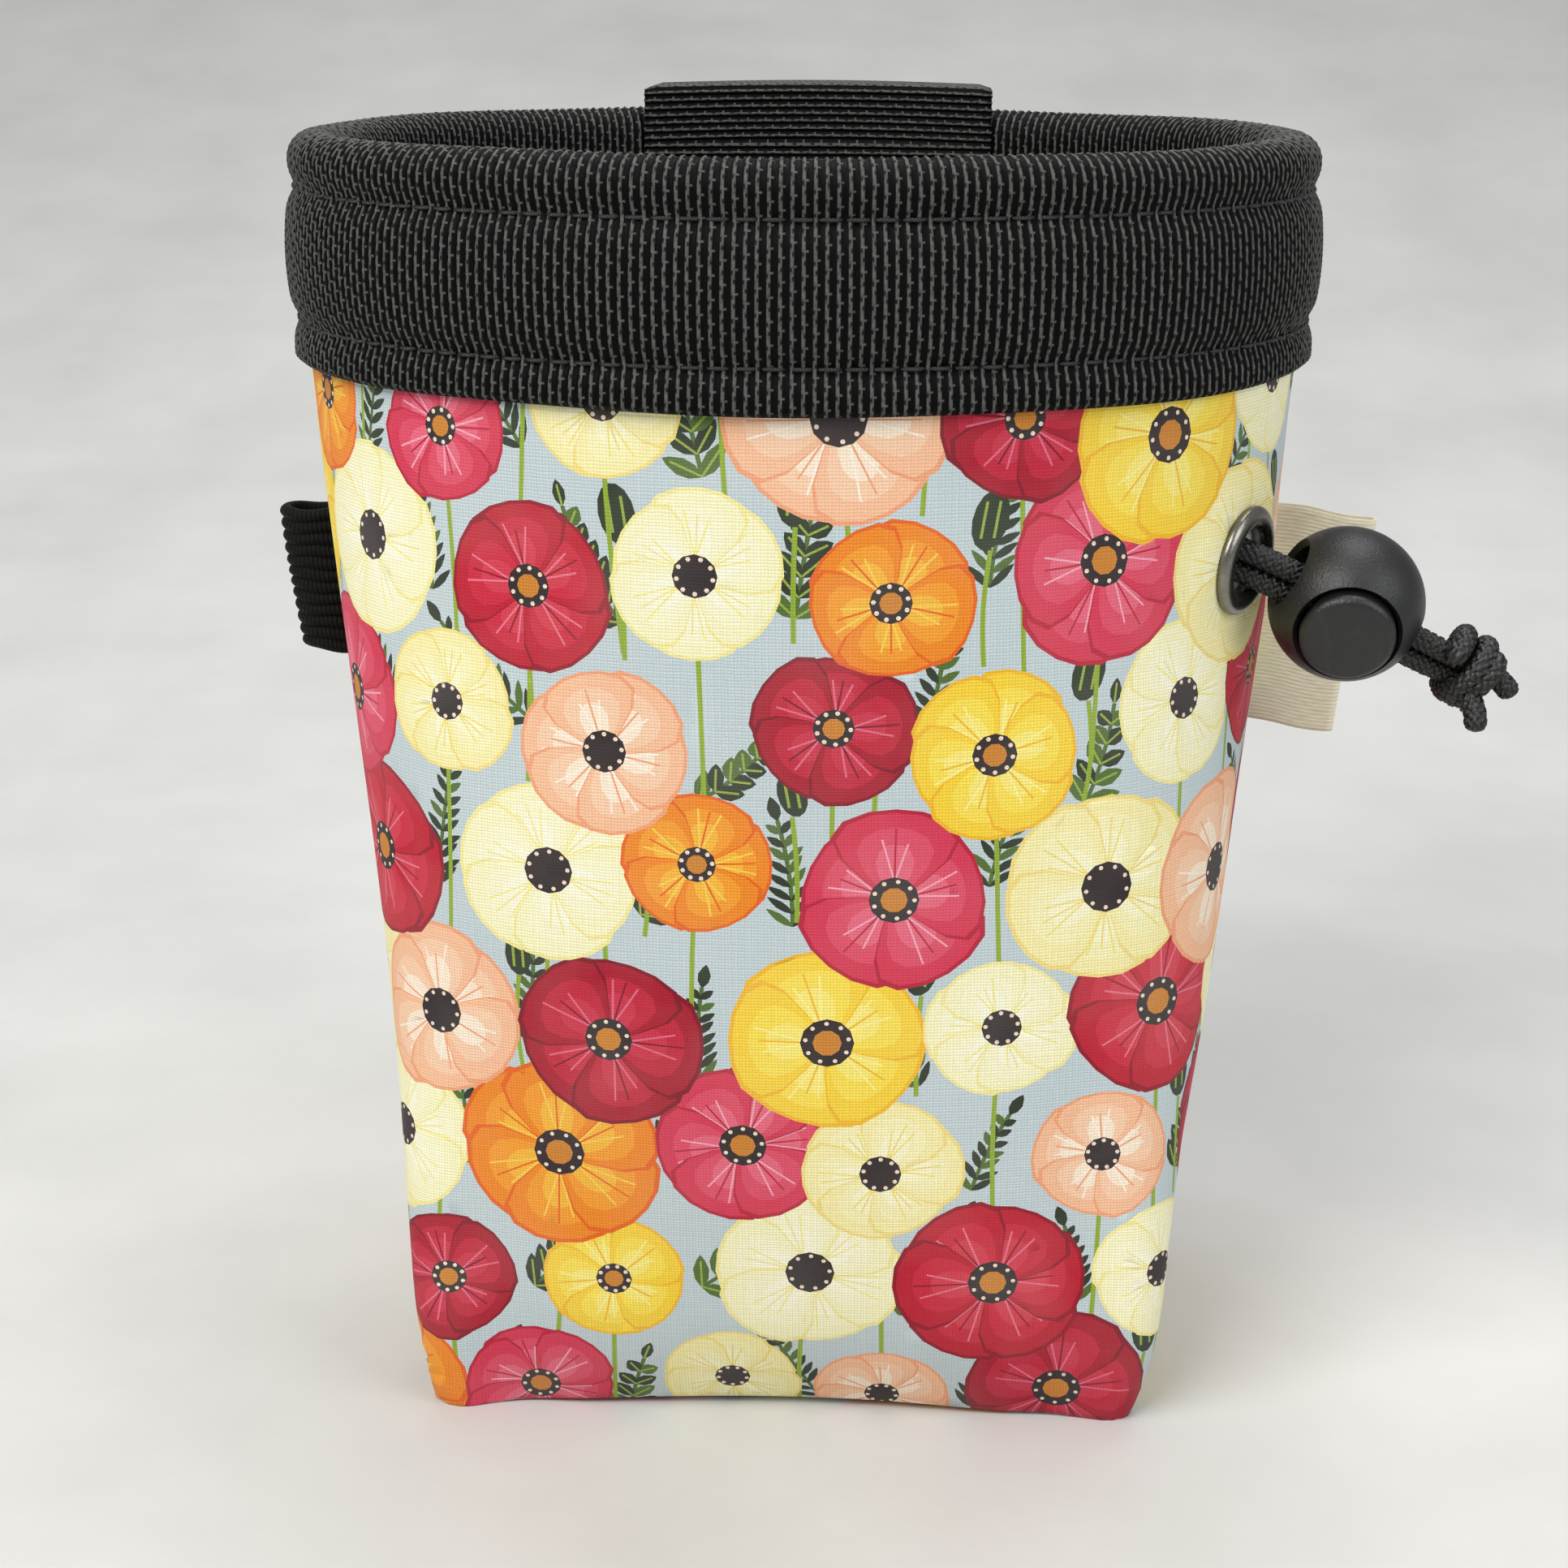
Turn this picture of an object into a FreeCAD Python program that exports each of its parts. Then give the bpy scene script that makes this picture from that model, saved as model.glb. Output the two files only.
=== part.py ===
import FreeCAD, Part

import math
import os

from FreeCAD import Placement, Rotation, Vector

# A treat pouch: a soft bag with a round webbing mouth that stays open, a boxed base, a belt
# loop at the back, an elastic loop and a folded tag in the side seams, and a drawcord that
# comes out through an eyelet and a spring-loaded ball lock.
# Millimetres. The bag stands on z = 0 with its front towards -Y and +X to its right.

os.makedirs("parts", exist_ok=True)

# ---- the bag's outline ----
NECK_Z = 137.0  # above this height the outline no longer changes
NECK_HALF_WIDTH = 62.9
NECK_HALF_DEPTH = 57.8
NECK_CORNER = 50.0
NECK_FRONT_RADIUS = 72.0
NECK_SIDE_RADIUS = 66.0
BASE_HALF_WIDTH = 48.8
BASE_HALF_DEPTH = 34.0
BASE_CORNER = 4.0
BASE_FRONT_RADIUS = 900.0
BASE_SIDE_RADIUS = 500.0
TUCK_HEIGHT = 18.0  # the walls curve in over this height to the base seam
TUCK_WIDTH = 1.8
TUCK_DEPTH = 2.0
CORNER_GROWTH = 1.4  # how late the corners open out on the way up
LEVELS = (3.0, 8.0, 18.0, 40.0, 65.0, 90.0, 114.0, NECK_Z)
ROOM = 100.0  # more than any half size of the bag

# ---- the wall's layers, as offsets from the outline, outwards positive ----
SHELL = (-0.5, 0.0)
INTERLINING = (-1.6, -0.6)
LINING = (-2.1, -1.7)
LAYERS_TOP = 160.0  # where the layers end, inside the folded band

# ---- the folded webbing band and what it holds ----
BAND_TOP = 165.0
BAND_BOTTOM = 137.5
BAND_INNER_BOTTOM = 141.5
BAND_OUTER_LEG = (0.1, 1.7)
BAND_INNER_LEG = (-4.9, -3.3)
BAND_FOLD = 1.6  # thickness of the fold at the top
BAND_ROUNDING = 1.2
STIFFENER = (-3.2, -2.2)
STIFFENER_LEVELS = (144.0, 160.0)

# ---- stitches ----
STITCH_LENGTH = 2.5
STITCH_PITCH = 3.1
STITCH_SIZE = 0.45
STITCH_PLAY = 0.05  # between a stitch and the cloth under it
UPPER_ROW = BAND_TOP - 6.5
LOWER_ROW = BAND_BOTTOM + 5.0

# ---- the collar inside the mouth, and the cord's casing at its hem ----
COLLAR = (-2.6, -2.2)
COLLAR_TOP = 143.5
CASING_LEVELS = (112.5, 121.5)
CASING_DEPTH = -9.8
CLOTH = 0.4

# ---- the belt loop, a strip over the back of the band ----
BELT_STRIP_WIDTH = 50.0
BELT_STRIP = 1.3
BELT_INNER = (-6.3, -5.0)
BELT_INNER_BOTTOM = 142.0
BELT_OUTER = (7.0, 8.3)
BELT_TOP = BAND_TOP + 3.0
BELT_HANG = 82.0  # the strip hangs straight down to here
BELT_TAB_TOP = 70.0  # and is sewn to the bag from here to the bottom
BELT_TAB_BOTTOM = 56.0
BELT_TAB_PLAY = 0.1
BELT_STITCH_INSET = 2.5

# ---- the loops in the side seams ----
SEAM_PLAY = 0.1  # between the bag and what is sewn into its seams
SEAM_ROOT = 3.0  # how far a loop's ends are made inside the bag before it is trimmed
ELASTIC_START = 55.0  # the plane that the elastic loop is made from, inside the bag
ELASTIC_BOTTOM = 96.2
ELASTIC_HEIGHT = 19.5
ELASTIC_REACH = 69.2
ELASTIC_GAP = 5.0
ELASTIC_THICKNESS = 1.0
TAG_HEIGHT = 28.9
TAG_REACH = 13.2
TAG_GAP = 1.0
TAG_THICKNESS = 0.45
TAG_TOP = Vector(62.3, 0.0, 117.5)
TAG_LEAN = 8.3  # degrees, the tag follows the tapered seam and droops a little

# ---- the eyelet ----
EYELET_CENTRE = Vector(54.6, -28.0, 115.8)
EYELET_AZIMUTH = -31.0
EYELET_DROP = -7.0
EYELET_RADIUS = 6.8
EYELET_BORE = 4.3
BARREL_RADIUS = 4.75
FLANGE_UNDER = 0.85  # heights along the eyelet's axis, from the wall's outer face
FLANGE_TOP = 1.5
WASHER_RADIUS = 7.0
WASHER = (-3.0, -2.5)
CURL_BOTTOM = -3.5  # the barrel is curled out under the washer
CURL_WIDTH = 1.6
EYELET_CUT = 7.0  # how far the wall's cutters reach to each side
SHELL_HOLE = 5.0
WASHER_CLEARANCE = 7.6
WASHER_CLEARANCE_DEPTH = 4.2
STRAND_PASSAGE = 4.6
STRAND_PASSAGE_DEPTH = 9.0

# ---- the cord ----
CORD_RADIUS = 1.35
BEND_SHARE = 0.45  # of the shorter run beside a bend
KNOT_CENTRE = Vector(81.6, -25.1, 102.7)
KNOT_HALF_LENGTH = 5.0
KNOT_HALF_WIDTH = 4.4
KNOT_ROUNDING = 3.4

# ---- the ball lock, about its own centre: X along the cord, Z out of the button ----
LOCK_CENTRE = Vector(67.8, -26.2, 110.1)
CORD_AXIS = Vector(0.88, 0.07, -0.47).normalize()
BUTTON_AXIS = Vector(-0.10, -0.94, -0.32).normalize()
BALL_RADIUS = 9.5
BUTTON_BORE = 6.0
BUTTON_BORE_BOTTOM = -5.0
BORE_CHAMFER = 1.6
BORE_CHAMFER_BOTTOM = 6.4
BUTTON_RADIUS = 5.75
BUTTON_BOTTOM = -1.5
BUTTON_TOP = 8.9
BUTTON_DOME = 0.4  # how far the crown stands above the rounded edge
BUTTON_EDGE = 1.0  # radius of that edge
BUTTON_TRAVEL = 3.3  # the button's own cord hole stands this far out at rest
CORD_HOLE = 4.0
CORD_HOLE_FLARE = 2.0
FLARE_START = 7.6  # the ball's cord hole opens out beyond this distance
SPRING_POCKET = 3.9
SPRING_BOTTOM = -7.6
SPRING_RADIUS = 3.0
SPRING_WIRE = 0.3
SPRING_TURNS = 4
WIRE_FACETS = 8  # the wire is made eight-sided
SPRING_PLAY = 0.05  # between the spring's wire and what it bears on

# Where each strand of the cord runs: from behind the eyelet, out of it and on to the knot.
STRAND_UPPER = ((52.0, -26.7, 117.8), (56.0, -29.1, 117.2), (78.6, -27.4, 105.2))
STRAND_LOWER = ((50.7, -25.8, 115.2), (54.7, -28.1, 114.7), (77.3, -26.4, 102.9))
# Inside the bag the strands turn away to both sides into the casing.
TURN_UPPER = ((50.1, -25.6, 118.1), (47.6, -26.2, 118.3))
TURN_LOWER = ((48.8, -24.7, 115.5), (48.2, -22.2, 115.8))
CASING_LINE = -6.6  # offset of the cord's corners in the casing
CASING_ANGLES = [-44, -53, -67] + [-90 - 26 * k for k in range(10)] + [-343, -358, -367]
# Past the knot the two ends are short and point away from each other.
TAIL_UPPER = ((84.9, -26.6, 102.0), (87.3, -27.0, 100.9), (88.6, -26.8, 98.9))
TAIL_LOWER = ((82.9, -27.8, 99.4), (83.9, -29.5, 97.5), (83.7, -30.2, 95.2))


def mixed(low, high, share):
    """The value a share of the way from low to high."""
    return low + (high - low) * share


class Section:
    """The bag's outline at one height: eight arcs, tangent to each other."""

    def __init__(self, z):
        share = min(max(z / NECK_Z, 0.0), 1.0)
        tuck = max(0.0, 1.0 - z / TUCK_HEIGHT) ** 2
        self.z = z
        self.half_width = mixed(BASE_HALF_WIDTH, NECK_HALF_WIDTH, share) - TUCK_WIDTH * tuck
        self.half_depth = mixed(BASE_HALF_DEPTH, NECK_HALF_DEPTH, share) - TUCK_DEPTH * tuck
        self.corner = mixed(BASE_CORNER, NECK_CORNER, share**CORNER_GROWTH)
        self.front = 1.0 / mixed(1.0 / BASE_FRONT_RADIUS, 1.0 / NECK_FRONT_RADIUS, share)
        self.side = 1.0 / mixed(1.0 / BASE_SIDE_RADIUS, 1.0 / NECK_SIDE_RADIUS, share)
        self.find_corner_centre()

    def find_corner_centre(self):
        """The corner arc touches the front arc and the side arc from inside."""
        front_y = self.half_depth - self.front
        side_x = self.half_width - self.side
        to_front = self.front - self.corner
        to_side = self.side - self.corner
        apart = math.hypot(side_x, front_y)
        along = (to_front**2 - to_side**2 + apart**2) / (2 * apart)
        across = math.sqrt(to_front**2 - along**2)
        ux, uy = side_x / apart, -front_y / apart
        self.corner_x = ux * along + abs(uy) * across
        self.corner_y = front_y + uy * along + abs(ux) * across
        self.side_angle = math.asin(self.corner_y / to_side)
        self.front_angle = math.acos(self.corner_x / to_front)

    def point(self, degrees, offset=0.0):
        """The point whose outward normal has this angle from +X."""
        angle = math.radians(degrees)
        cosine, sine = abs(math.cos(angle)), abs(math.sin(angle))
        steep = math.atan2(sine, cosine)
        if steep < self.side_angle:
            x = self.half_width - self.side + (self.side + offset) * cosine
            y = (self.side + offset) * sine
        elif steep < self.front_angle:
            x = self.corner_x + (self.corner + offset) * cosine
            y = self.corner_y + (self.corner + offset) * sine
        else:
            x = (self.front + offset) * cosine
            y = self.half_depth - self.front + (self.front + offset) * sine
        return Vector(math.copysign(x, math.cos(angle)), math.copysign(y, math.sin(angle)), self.z)

    def wire(self, offset):
        """The closed outline, moved outwards by offset."""
        side = math.degrees(self.side_angle)
        front = math.degrees(self.front_angle)
        joints = [-side, side, front, 180 - front, 180 - side, 180 + side, 180 + front, 360 - front]
        joints.append(360 - side)
        arcs = []
        for start, end in zip(joints, joints[1:]):
            inside = 1e-6 * (end - start)
            ends = [self.point(a, offset) for a in (start + inside, (start + end) / 2, end - inside)]
            if arcs:
                ends[0] = arcs[-1].Vertexes[-1].Point
            if end == joints[-1]:
                ends[2] = arcs[0].Vertexes[0].Point
            arcs.append(Part.Arc(*ends).toShape())
        return Part.Wire(arcs)


def solid_bag(low, high, offset):
    """The bag's whole form between two heights, moved outwards by offset."""
    levels = [low] + [z for z in LEVELS if low + 1 < z < high - 1] + [high]
    wires = [Section(z).wire(offset) for z in levels]
    return Part.makeLoft(wires, True, True)


def ring(low, high, offsets):
    """A wall between two offsets, open at the top and the bottom."""
    inner, outer = offsets
    return solid_bag(low, high, outer).cut(solid_bag(low - 0.01, high + 0.01, inner))


def bucket(offsets):
    """A wall between two offsets, with a floor of the same thickness."""
    inner, outer = offsets
    whole = solid_bag(-outer, LAYERS_TOP, outer)
    return whole.cut(solid_bag(-inner, LAYERS_TOP + 1, inner))


def front_half(shape):
    """What lies in front of the side seams."""
    return shape.common(Part.makeBox(2 * ROOM, ROOM, 2 * ROOM, Vector(-ROOM, -ROOM, -1)))


def back_half(shape):
    """What lies behind the side seams."""
    return shape.common(Part.makeBox(2 * ROOM, ROOM, 2 * ROOM, Vector(-ROOM, 0, -1)))


def write(name, shape):
    """Write one piece to its own file and say what it is."""
    solids = shape.Solids
    if not solids or not shape.isValid():
        raise ValueError(name + " is not a valid solid")
    if len(solids) == 1:
        shape = solids[0]
    shape.exportStep("parts/" + name + ".step")
    print(f"{name}: {len(solids)} solid(s), {shape.Volume:.1f} mm3")


# ---- frames for the eyelet and the lock ----
def direction(azimuth, elevation):
    """A unit vector from two angles in degrees."""
    flat = math.cos(math.radians(elevation))
    x = flat * math.cos(math.radians(azimuth))
    y = flat * math.sin(math.radians(azimuth))
    return Vector(x, y, math.sin(math.radians(elevation)))


EYELET_NORMAL = direction(EYELET_AZIMUTH, EYELET_DROP)


def at_eyelet(shape):
    """Move a shape made about Z to the eyelet, Z pointing out of the bag."""
    shape.Placement = Placement(EYELET_CENTRE, Rotation(Vector(0, 0, 1), EYELET_NORMAL))
    return shape


def at_lock(shape):
    """Move a shape made about the lock's own centre to its place."""
    button = (BUTTON_AXIS - CORD_AXIS * BUTTON_AXIS.dot(CORD_AXIS)).normalize()
    turn = Rotation(CORD_AXIS, button.cross(CORD_AXIS), button, "ZXY")
    shape.Placement = Placement(LOCK_CENTRE, turn)
    return shape


def turned(points):
    """A solid of revolution about Z from (radius, height) corners."""
    corners = [Vector(r, 0, h) for r, h in points]
    face = Part.Face(Part.makePolygon(corners + corners[:1]))
    return face.revolve(Vector(0, 0, 0), Vector(0, 0, 1), 360)


# ---- the walls ----
def eyelet_hole(radius, depth):
    """A cutter for a round hole at the eyelet, from outside to this depth."""
    return at_eyelet(Part.makeCylinder(radius, EYELET_CUT + depth, Vector(0, 0, -depth)))


def make_walls():
    """Shell, interlining and lining, each as a front and a back panel."""
    shell = bucket(SHELL)
    write("shell_front_panel", front_half(shell).cut(eyelet_hole(SHELL_HOLE, EYELET_CUT)))
    write("shell_back_panel", back_half(shell))
    interlining = bucket(INTERLINING)
    write("interlining_front", front_half(interlining).cut(eyelet_hole(SHELL_HOLE, EYELET_CUT)))
    write("interlining_back", back_half(interlining))
    lining = bucket(LINING)
    write("lining_front", front_half(lining).cut(eyelet_hole(WASHER_CLEARANCE, EYELET_CUT)))
    write("lining_back", back_half(lining))


def make_collar():
    """A cloth collar round the inside of the mouth, and the cord's casing sewn to its hem."""
    low, high = CASING_LEVELS
    round_washer = eyelet_hole(WASHER_CLEARANCE, WASHER_CLEARANCE_DEPTH)
    write("closure_collar", ring(high, COLLAR_TOP, COLLAR).cut(round_washer))
    casing = ring(low, high, (CASING_DEPTH, COLLAR[1]))
    casing = casing.cut(ring(low + CLOTH, high - CLOTH, (CASING_DEPTH + CLOTH, COLLAR[0])))
    casing = casing.cut([round_washer, eyelet_hole(STRAND_PASSAGE, STRAND_PASSAGE_DEPTH)])
    write("drawcord_casing", casing)


# ---- the mouth ----
def make_band():
    """The webbing folded over the top of the walls."""
    outer = ring(BAND_BOTTOM, BAND_TOP, BAND_OUTER_LEG)
    inner = ring(BAND_INNER_BOTTOM, BAND_TOP, BAND_INNER_LEG)
    fold = ring(BAND_TOP - BAND_FOLD, BAND_TOP, (BAND_INNER_LEG[0], BAND_OUTER_LEG[1]))
    band = outer.fuse([inner, fold]).removeSplitter()
    rims = [e for e in band.Edges if min(v.Z for v in e.Vertexes) > BAND_TOP - 0.01]
    write("rim_webbing", band.makeFillet(BAND_ROUNDING, rims))
    write("rim_stiffener", ring(*STIFFENER_LEVELS, STIFFENER))


def stitch(centre, along, outwards):
    """One stitch, a short bar lying on the cloth."""
    bar = Part.makeBox(STITCH_LENGTH, STITCH_SIZE, STITCH_SIZE)
    bar.translate(Vector(-STITCH_LENGTH / 2, -STITCH_SIZE / 2, 0))
    turn = Rotation(along, outwards.cross(along), outwards, "ZXY")
    bar.Placement = Placement(centre, turn).multiply(bar.Placement)
    return bar


def stitch_round(z, offset):
    """A closed row of stitches round the bag."""
    line = Section(z).wire(offset)
    count = round(line.Length / STITCH_PITCH)
    points = line.discretize(Number=count + 1)[:-1]
    bars = []
    for i, point in enumerate(points):
        along = (points[(i + 1) % count] - points[i - 1]).normalize()
        bars.append(stitch(point, along, along.cross(Vector(0, 0, 1))))
    return bars


def make_rim_stitches():
    """The two rows that hold the band."""
    proud = BAND_OUTER_LEG[1] + STITCH_PLAY
    write("rim_stitch_upper", Part.makeCompound(stitch_round(UPPER_ROW, proud)))
    write("rim_stitch_lower", Part.makeCompound(stitch_round(LOWER_ROW, proud)))


# ---- the belt loop ----
def on_back(x, z, offset):
    """The point of the back wall at this x and height, moved outwards."""
    section = Section(z)
    radius = section.front + offset
    return Vector(x, section.half_depth - section.front + math.sqrt(radius**2 - x**2), z)


def strip_slice(z, offsets):
    """The belt strip cut through at one height: a curved band as wide as the strip."""
    half = BELT_STRIP_WIDTH / 2
    inner, outer = offsets
    near = [on_back(x, z, inner) for x in (-half, 0, half)]
    far = [on_back(x, z, outer) for x in (half, 0, -half)]
    edges = [
        Part.Arc(*near).toShape(),
        Part.LineSegment(near[2], far[0]).toShape(),
        Part.Arc(*far).toShape(),
        Part.LineSegment(far[2], near[0]).toShape(),
    ]
    return Part.Wire(edges)


def strip_leg(stations):
    """A leg of the strip through (height, offsets) stations."""
    return Part.makeLoft([strip_slice(z, offsets) for z, offsets in stations], True, True)


def make_belt_loop():
    """Up the inside of the mouth, over the band, down the back and sewn on below."""
    rim_back = Section(BAND_TOP).half_depth
    hang = rim_back + BELT_OUTER[0] - Section(BELT_HANG).half_depth
    tab = (BELT_TAB_PLAY, BELT_TAB_PLAY + BELT_STRIP)
    inner_leg = strip_leg([(BELT_INNER_BOTTOM, BELT_INNER), (BELT_TOP, BELT_INNER)])
    bridge = strip_leg([(z, (BELT_INNER[0], BELT_OUTER[1])) for z in (BELT_TOP - BELT_STRIP, BELT_TOP)])
    outer_leg = strip_leg(
        [
            (BELT_TAB_BOTTOM, tab),
            (BELT_TAB_TOP, tab),
            (BELT_HANG, (hang, hang + BELT_STRIP)),
            (NECK_Z, BELT_OUTER),
            (BELT_TOP, BELT_OUTER),
        ]
    )
    write("belt_loop_webbing", inner_leg.fuse([bridge, outer_leg]))


def stitch_across(z, offset, facing):
    """A straight row across the strip, facing outwards (1) or into the mouth (-1)."""
    steps = int((BELT_STRIP_WIDTH - 2 * BELT_STITCH_INSET) / STITCH_PITCH)
    bars = []
    for k in range(steps + 1):
        x = (k - steps / 2) * STITCH_PITCH
        along = (on_back(x + 1, z, 0) - on_back(x - 1, z, 0)).normalize()
        bars.append(stitch(on_back(x, z, offset), along, Vector(0, 0, facing).cross(along)))
    return bars


def make_belt_stitches():
    """Two rows on the sewn tab and one across the inner leg."""
    tab_face = BELT_TAB_PLAY + BELT_STRIP + STITCH_PLAY
    bars = stitch_across(BELT_TAB_BOTTOM + BELT_STITCH_INSET, tab_face, 1)
    bars += stitch_across(BELT_TAB_TOP - BELT_STITCH_INSET, tab_face, 1)
    inner_face = BELT_INNER[0] - STITCH_PLAY
    bars += stitch_across(BELT_INNER_BOTTOM + BELT_STITCH_INSET, inner_face, -1)
    write("belt_loop_stitching", Part.makeCompound(bars))


# ---- the loops in the side seams ----
def folded_band(reach, gap, thickness, height):
    """A strip folded round into a loop that points along +X, standing on z = 0."""
    outer = gap / 2 + thickness
    bend = reach - outer
    shapes = []
    for radius in (outer, gap / 2):
        corners = [Vector(-SEAM_ROOT, -radius, 0), Vector(bend, -radius, 0)]
        corners += [Vector(bend, radius, 0), Vector(-SEAM_ROOT, radius, 0)]
        edges = [Part.LineSegment(corners[0], corners[1]).toShape()]
        edges.append(Part.Arc(corners[1], Vector(bend + radius, 0, 0), corners[2]).toShape())
        edges.append(Part.LineSegment(corners[2], corners[3]).toShape())
        edges.append(Part.LineSegment(corners[3], corners[0]).toShape())
        shapes.append(Part.Face(Part.Wire(edges)).extrude(Vector(0, 0, height)))
    hollow = shapes[1].copy()
    hollow.translate(Vector(-0.01, 0, 0))
    return shapes[0].cut(hollow)


def make_side_pieces():
    """The elastic loop in the left seam and the folded tag in the right seam."""
    bag = solid_bag(0, LAYERS_TOP, SEAM_PLAY)
    reach = ELASTIC_REACH - ELASTIC_START
    elastic = folded_band(reach, ELASTIC_GAP, ELASTIC_THICKNESS, ELASTIC_HEIGHT)
    elastic.rotate(Vector(0, 0, 0), Vector(0, 0, 1), 180)
    elastic.translate(Vector(-ELASTIC_START, 0, ELASTIC_BOTTOM))
    write("elastic_loop", elastic.cut(bag))
    tag = folded_band(TAG_REACH + SEAM_ROOT, TAG_GAP, TAG_THICKNESS, TAG_HEIGHT)
    tag.translate(Vector(-SEAM_ROOT, 0, -TAG_HEIGHT))
    tag.rotate(Vector(0, 0, 0), Vector(0, 1, 0), TAG_LEAN)
    tag.translate(TAG_TOP)
    write("side_tag", tag.cut(bag))


# ---- the eyelet ----
def make_eyelet():
    """A rolled grommet outside and its washer inside, with the barrel curled under it."""
    curl_radius = EYELET_BORE + CURL_WIDTH
    curl_top = WASHER[0] - 0.05
    flange = turned(
        [
            (EYELET_BORE, CURL_BOTTOM),
            (curl_radius, CURL_BOTTOM),
            (curl_radius, curl_top),
            (BARREL_RADIUS, curl_top),
            (BARREL_RADIUS, FLANGE_UNDER),
            (EYELET_RADIUS, FLANGE_UNDER),
            (EYELET_RADIUS, FLANGE_UNDER + 0.3),
            (EYELET_RADIUS - 0.5, FLANGE_TOP - 0.1),
            (EYELET_RADIUS - 1.2, FLANGE_TOP),
            (EYELET_BORE + 0.4, FLANGE_TOP - 0.1),
            (EYELET_BORE, FLANGE_UNDER + 0.2),
        ]
    )
    write("eyelet_flange", at_eyelet(flange))
    low, high = WASHER
    outline = [(SHELL_HOLE, low), (WASHER_RADIUS, low), (WASHER_RADIUS, high), (SHELL_HOLE, high)]
    write("eyelet_washer", at_eyelet(turned(outline)))


# ---- the cord ----
def rounded_path(points):
    """Straight runs joined by tangent arcs, each as large as its shorter run allows."""
    points = [Vector(*p) for p in points]
    edges, radii, start = [], [], points[0]
    for before, corner, after in zip(points, points[1:], points[2:]):
        back = (before - corner).normalize()
        ahead = (after - corner).normalize()
        half_turn = (math.pi - back.getAngle(ahead)) / 2
        reach = BEND_SHARE * min((before - corner).Length, (after - corner).Length)
        radius = reach / math.tan(half_turn)
        middle = corner + (back + ahead).normalize() * (radius / math.cos(half_turn) - radius)
        first, last = corner + back * reach, corner + ahead * reach
        edges.append(Part.LineSegment(start, first).toShape())
        edges.append(Part.Arc(first, middle, last).toShape())
        radii.append(radius)
        start = last
    edges.append(Part.LineSegment(start, points[-1]).toShape())
    return Part.Wire(edges), radii


def cord(name, points):
    """A round cord along a rounded path."""
    path, radii = rounded_path(points)
    ahead = Vector(*points[1]) - Vector(*points[0])
    circle = Part.Wire(Part.makeCircle(CORD_RADIUS, Vector(*points[0]), ahead))
    tube = path.makePipeShell([circle], True, False)
    expected = math.pi * CORD_RADIUS**2 * path.Length
    print(f"{name}: radii {min(radii):.1f} to {max(radii):.1f}, length {path.Length:.1f}")
    print(f"   volume {tube.Volume:.1f}, section times length {expected:.1f}")
    write(name, tube)


def make_cord():
    """The loop in the casing, two strands out to the knot, and two ends."""
    heights = [mixed(TURN_UPPER[1][2], TURN_LOWER[1][2], k / 15) for k in range(16)]
    loop = [STRAND_UPPER[0], *TURN_UPPER]
    for angle, z in zip(CASING_ANGLES, heights):
        loop.append(tuple(Section(z).point(angle, CASING_LINE)))
    loop += [*reversed(TURN_LOWER), STRAND_LOWER[0]]
    cord("drawcord_loop", loop)
    cord("drawcord_strand_upper", STRAND_UPPER)
    cord("drawcord_strand_lower", STRAND_LOWER)
    cord("drawcord_end_upper", TAIL_UPPER)
    cord("drawcord_end_lower", TAIL_LOWER)


def make_knot():
    """The overhand knot in both strands, as the rounded lump that it is."""
    length = 2 * KNOT_HALF_LENGTH
    knot = Part.makeCylinder(KNOT_HALF_WIDTH, length, Vector(0, 0, -KNOT_HALF_LENGTH))
    ends = [edge for edge in knot.Edges if len(edge.Vertexes) == 1]
    knot = knot.makeFillet(KNOT_ROUNDING, ends)
    knot.Placement = Placement(KNOT_CENTRE, Rotation(Vector(0, 0, 1), CORD_AXIS))
    write("drawcord_knot", knot)


# ---- the ball lock ----
def cord_hole(height):
    """A cutter for a cord hole along X at this height."""
    length = 3 * BALL_RADIUS
    return Part.makeCylinder(CORD_HOLE, length, Vector(-length / 2, 0, height), Vector(1, 0, 0))


def flared_mouth(side):
    """A cutter that opens the ball's cord hole out on one side, -1 or 1."""
    start = Vector(side * FLARE_START, 0, 0)
    mouth = CORD_HOLE + CORD_HOLE_FLARE
    return Part.makeCone(CORD_HOLE, mouth, CORD_HOLE_FLARE, start, Vector(side, 0, 0))


def make_ball():
    """The ball, with the button's bore, the spring's pocket under it and the cord hole."""
    bore_depth = BALL_RADIUS - BUTTON_BORE_BOTTOM
    pocket_depth = BUTTON_BORE_BOTTOM - SPRING_BOTTOM + 0.1
    chamfer_foot = Vector(0, 0, BORE_CHAMFER_BOTTOM)
    cutters = [
        Part.makeCylinder(BUTTON_BORE, bore_depth, Vector(0, 0, BUTTON_BORE_BOTTOM)),
        Part.makeCone(BUTTON_BORE, BUTTON_BORE + BORE_CHAMFER, BORE_CHAMFER, chamfer_foot),
        Part.makeCylinder(SPRING_POCKET, pocket_depth, Vector(0, 0, SPRING_BOTTOM)),
        cord_hole(0).fuse([flared_mouth(-1), flared_mouth(1)]),
    ]
    ball = Part.makeSphere(BALL_RADIUS)
    for cutter in cutters:
        ball = ball.cut(cutter)
    write("lock_ball", at_lock(ball))


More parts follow.
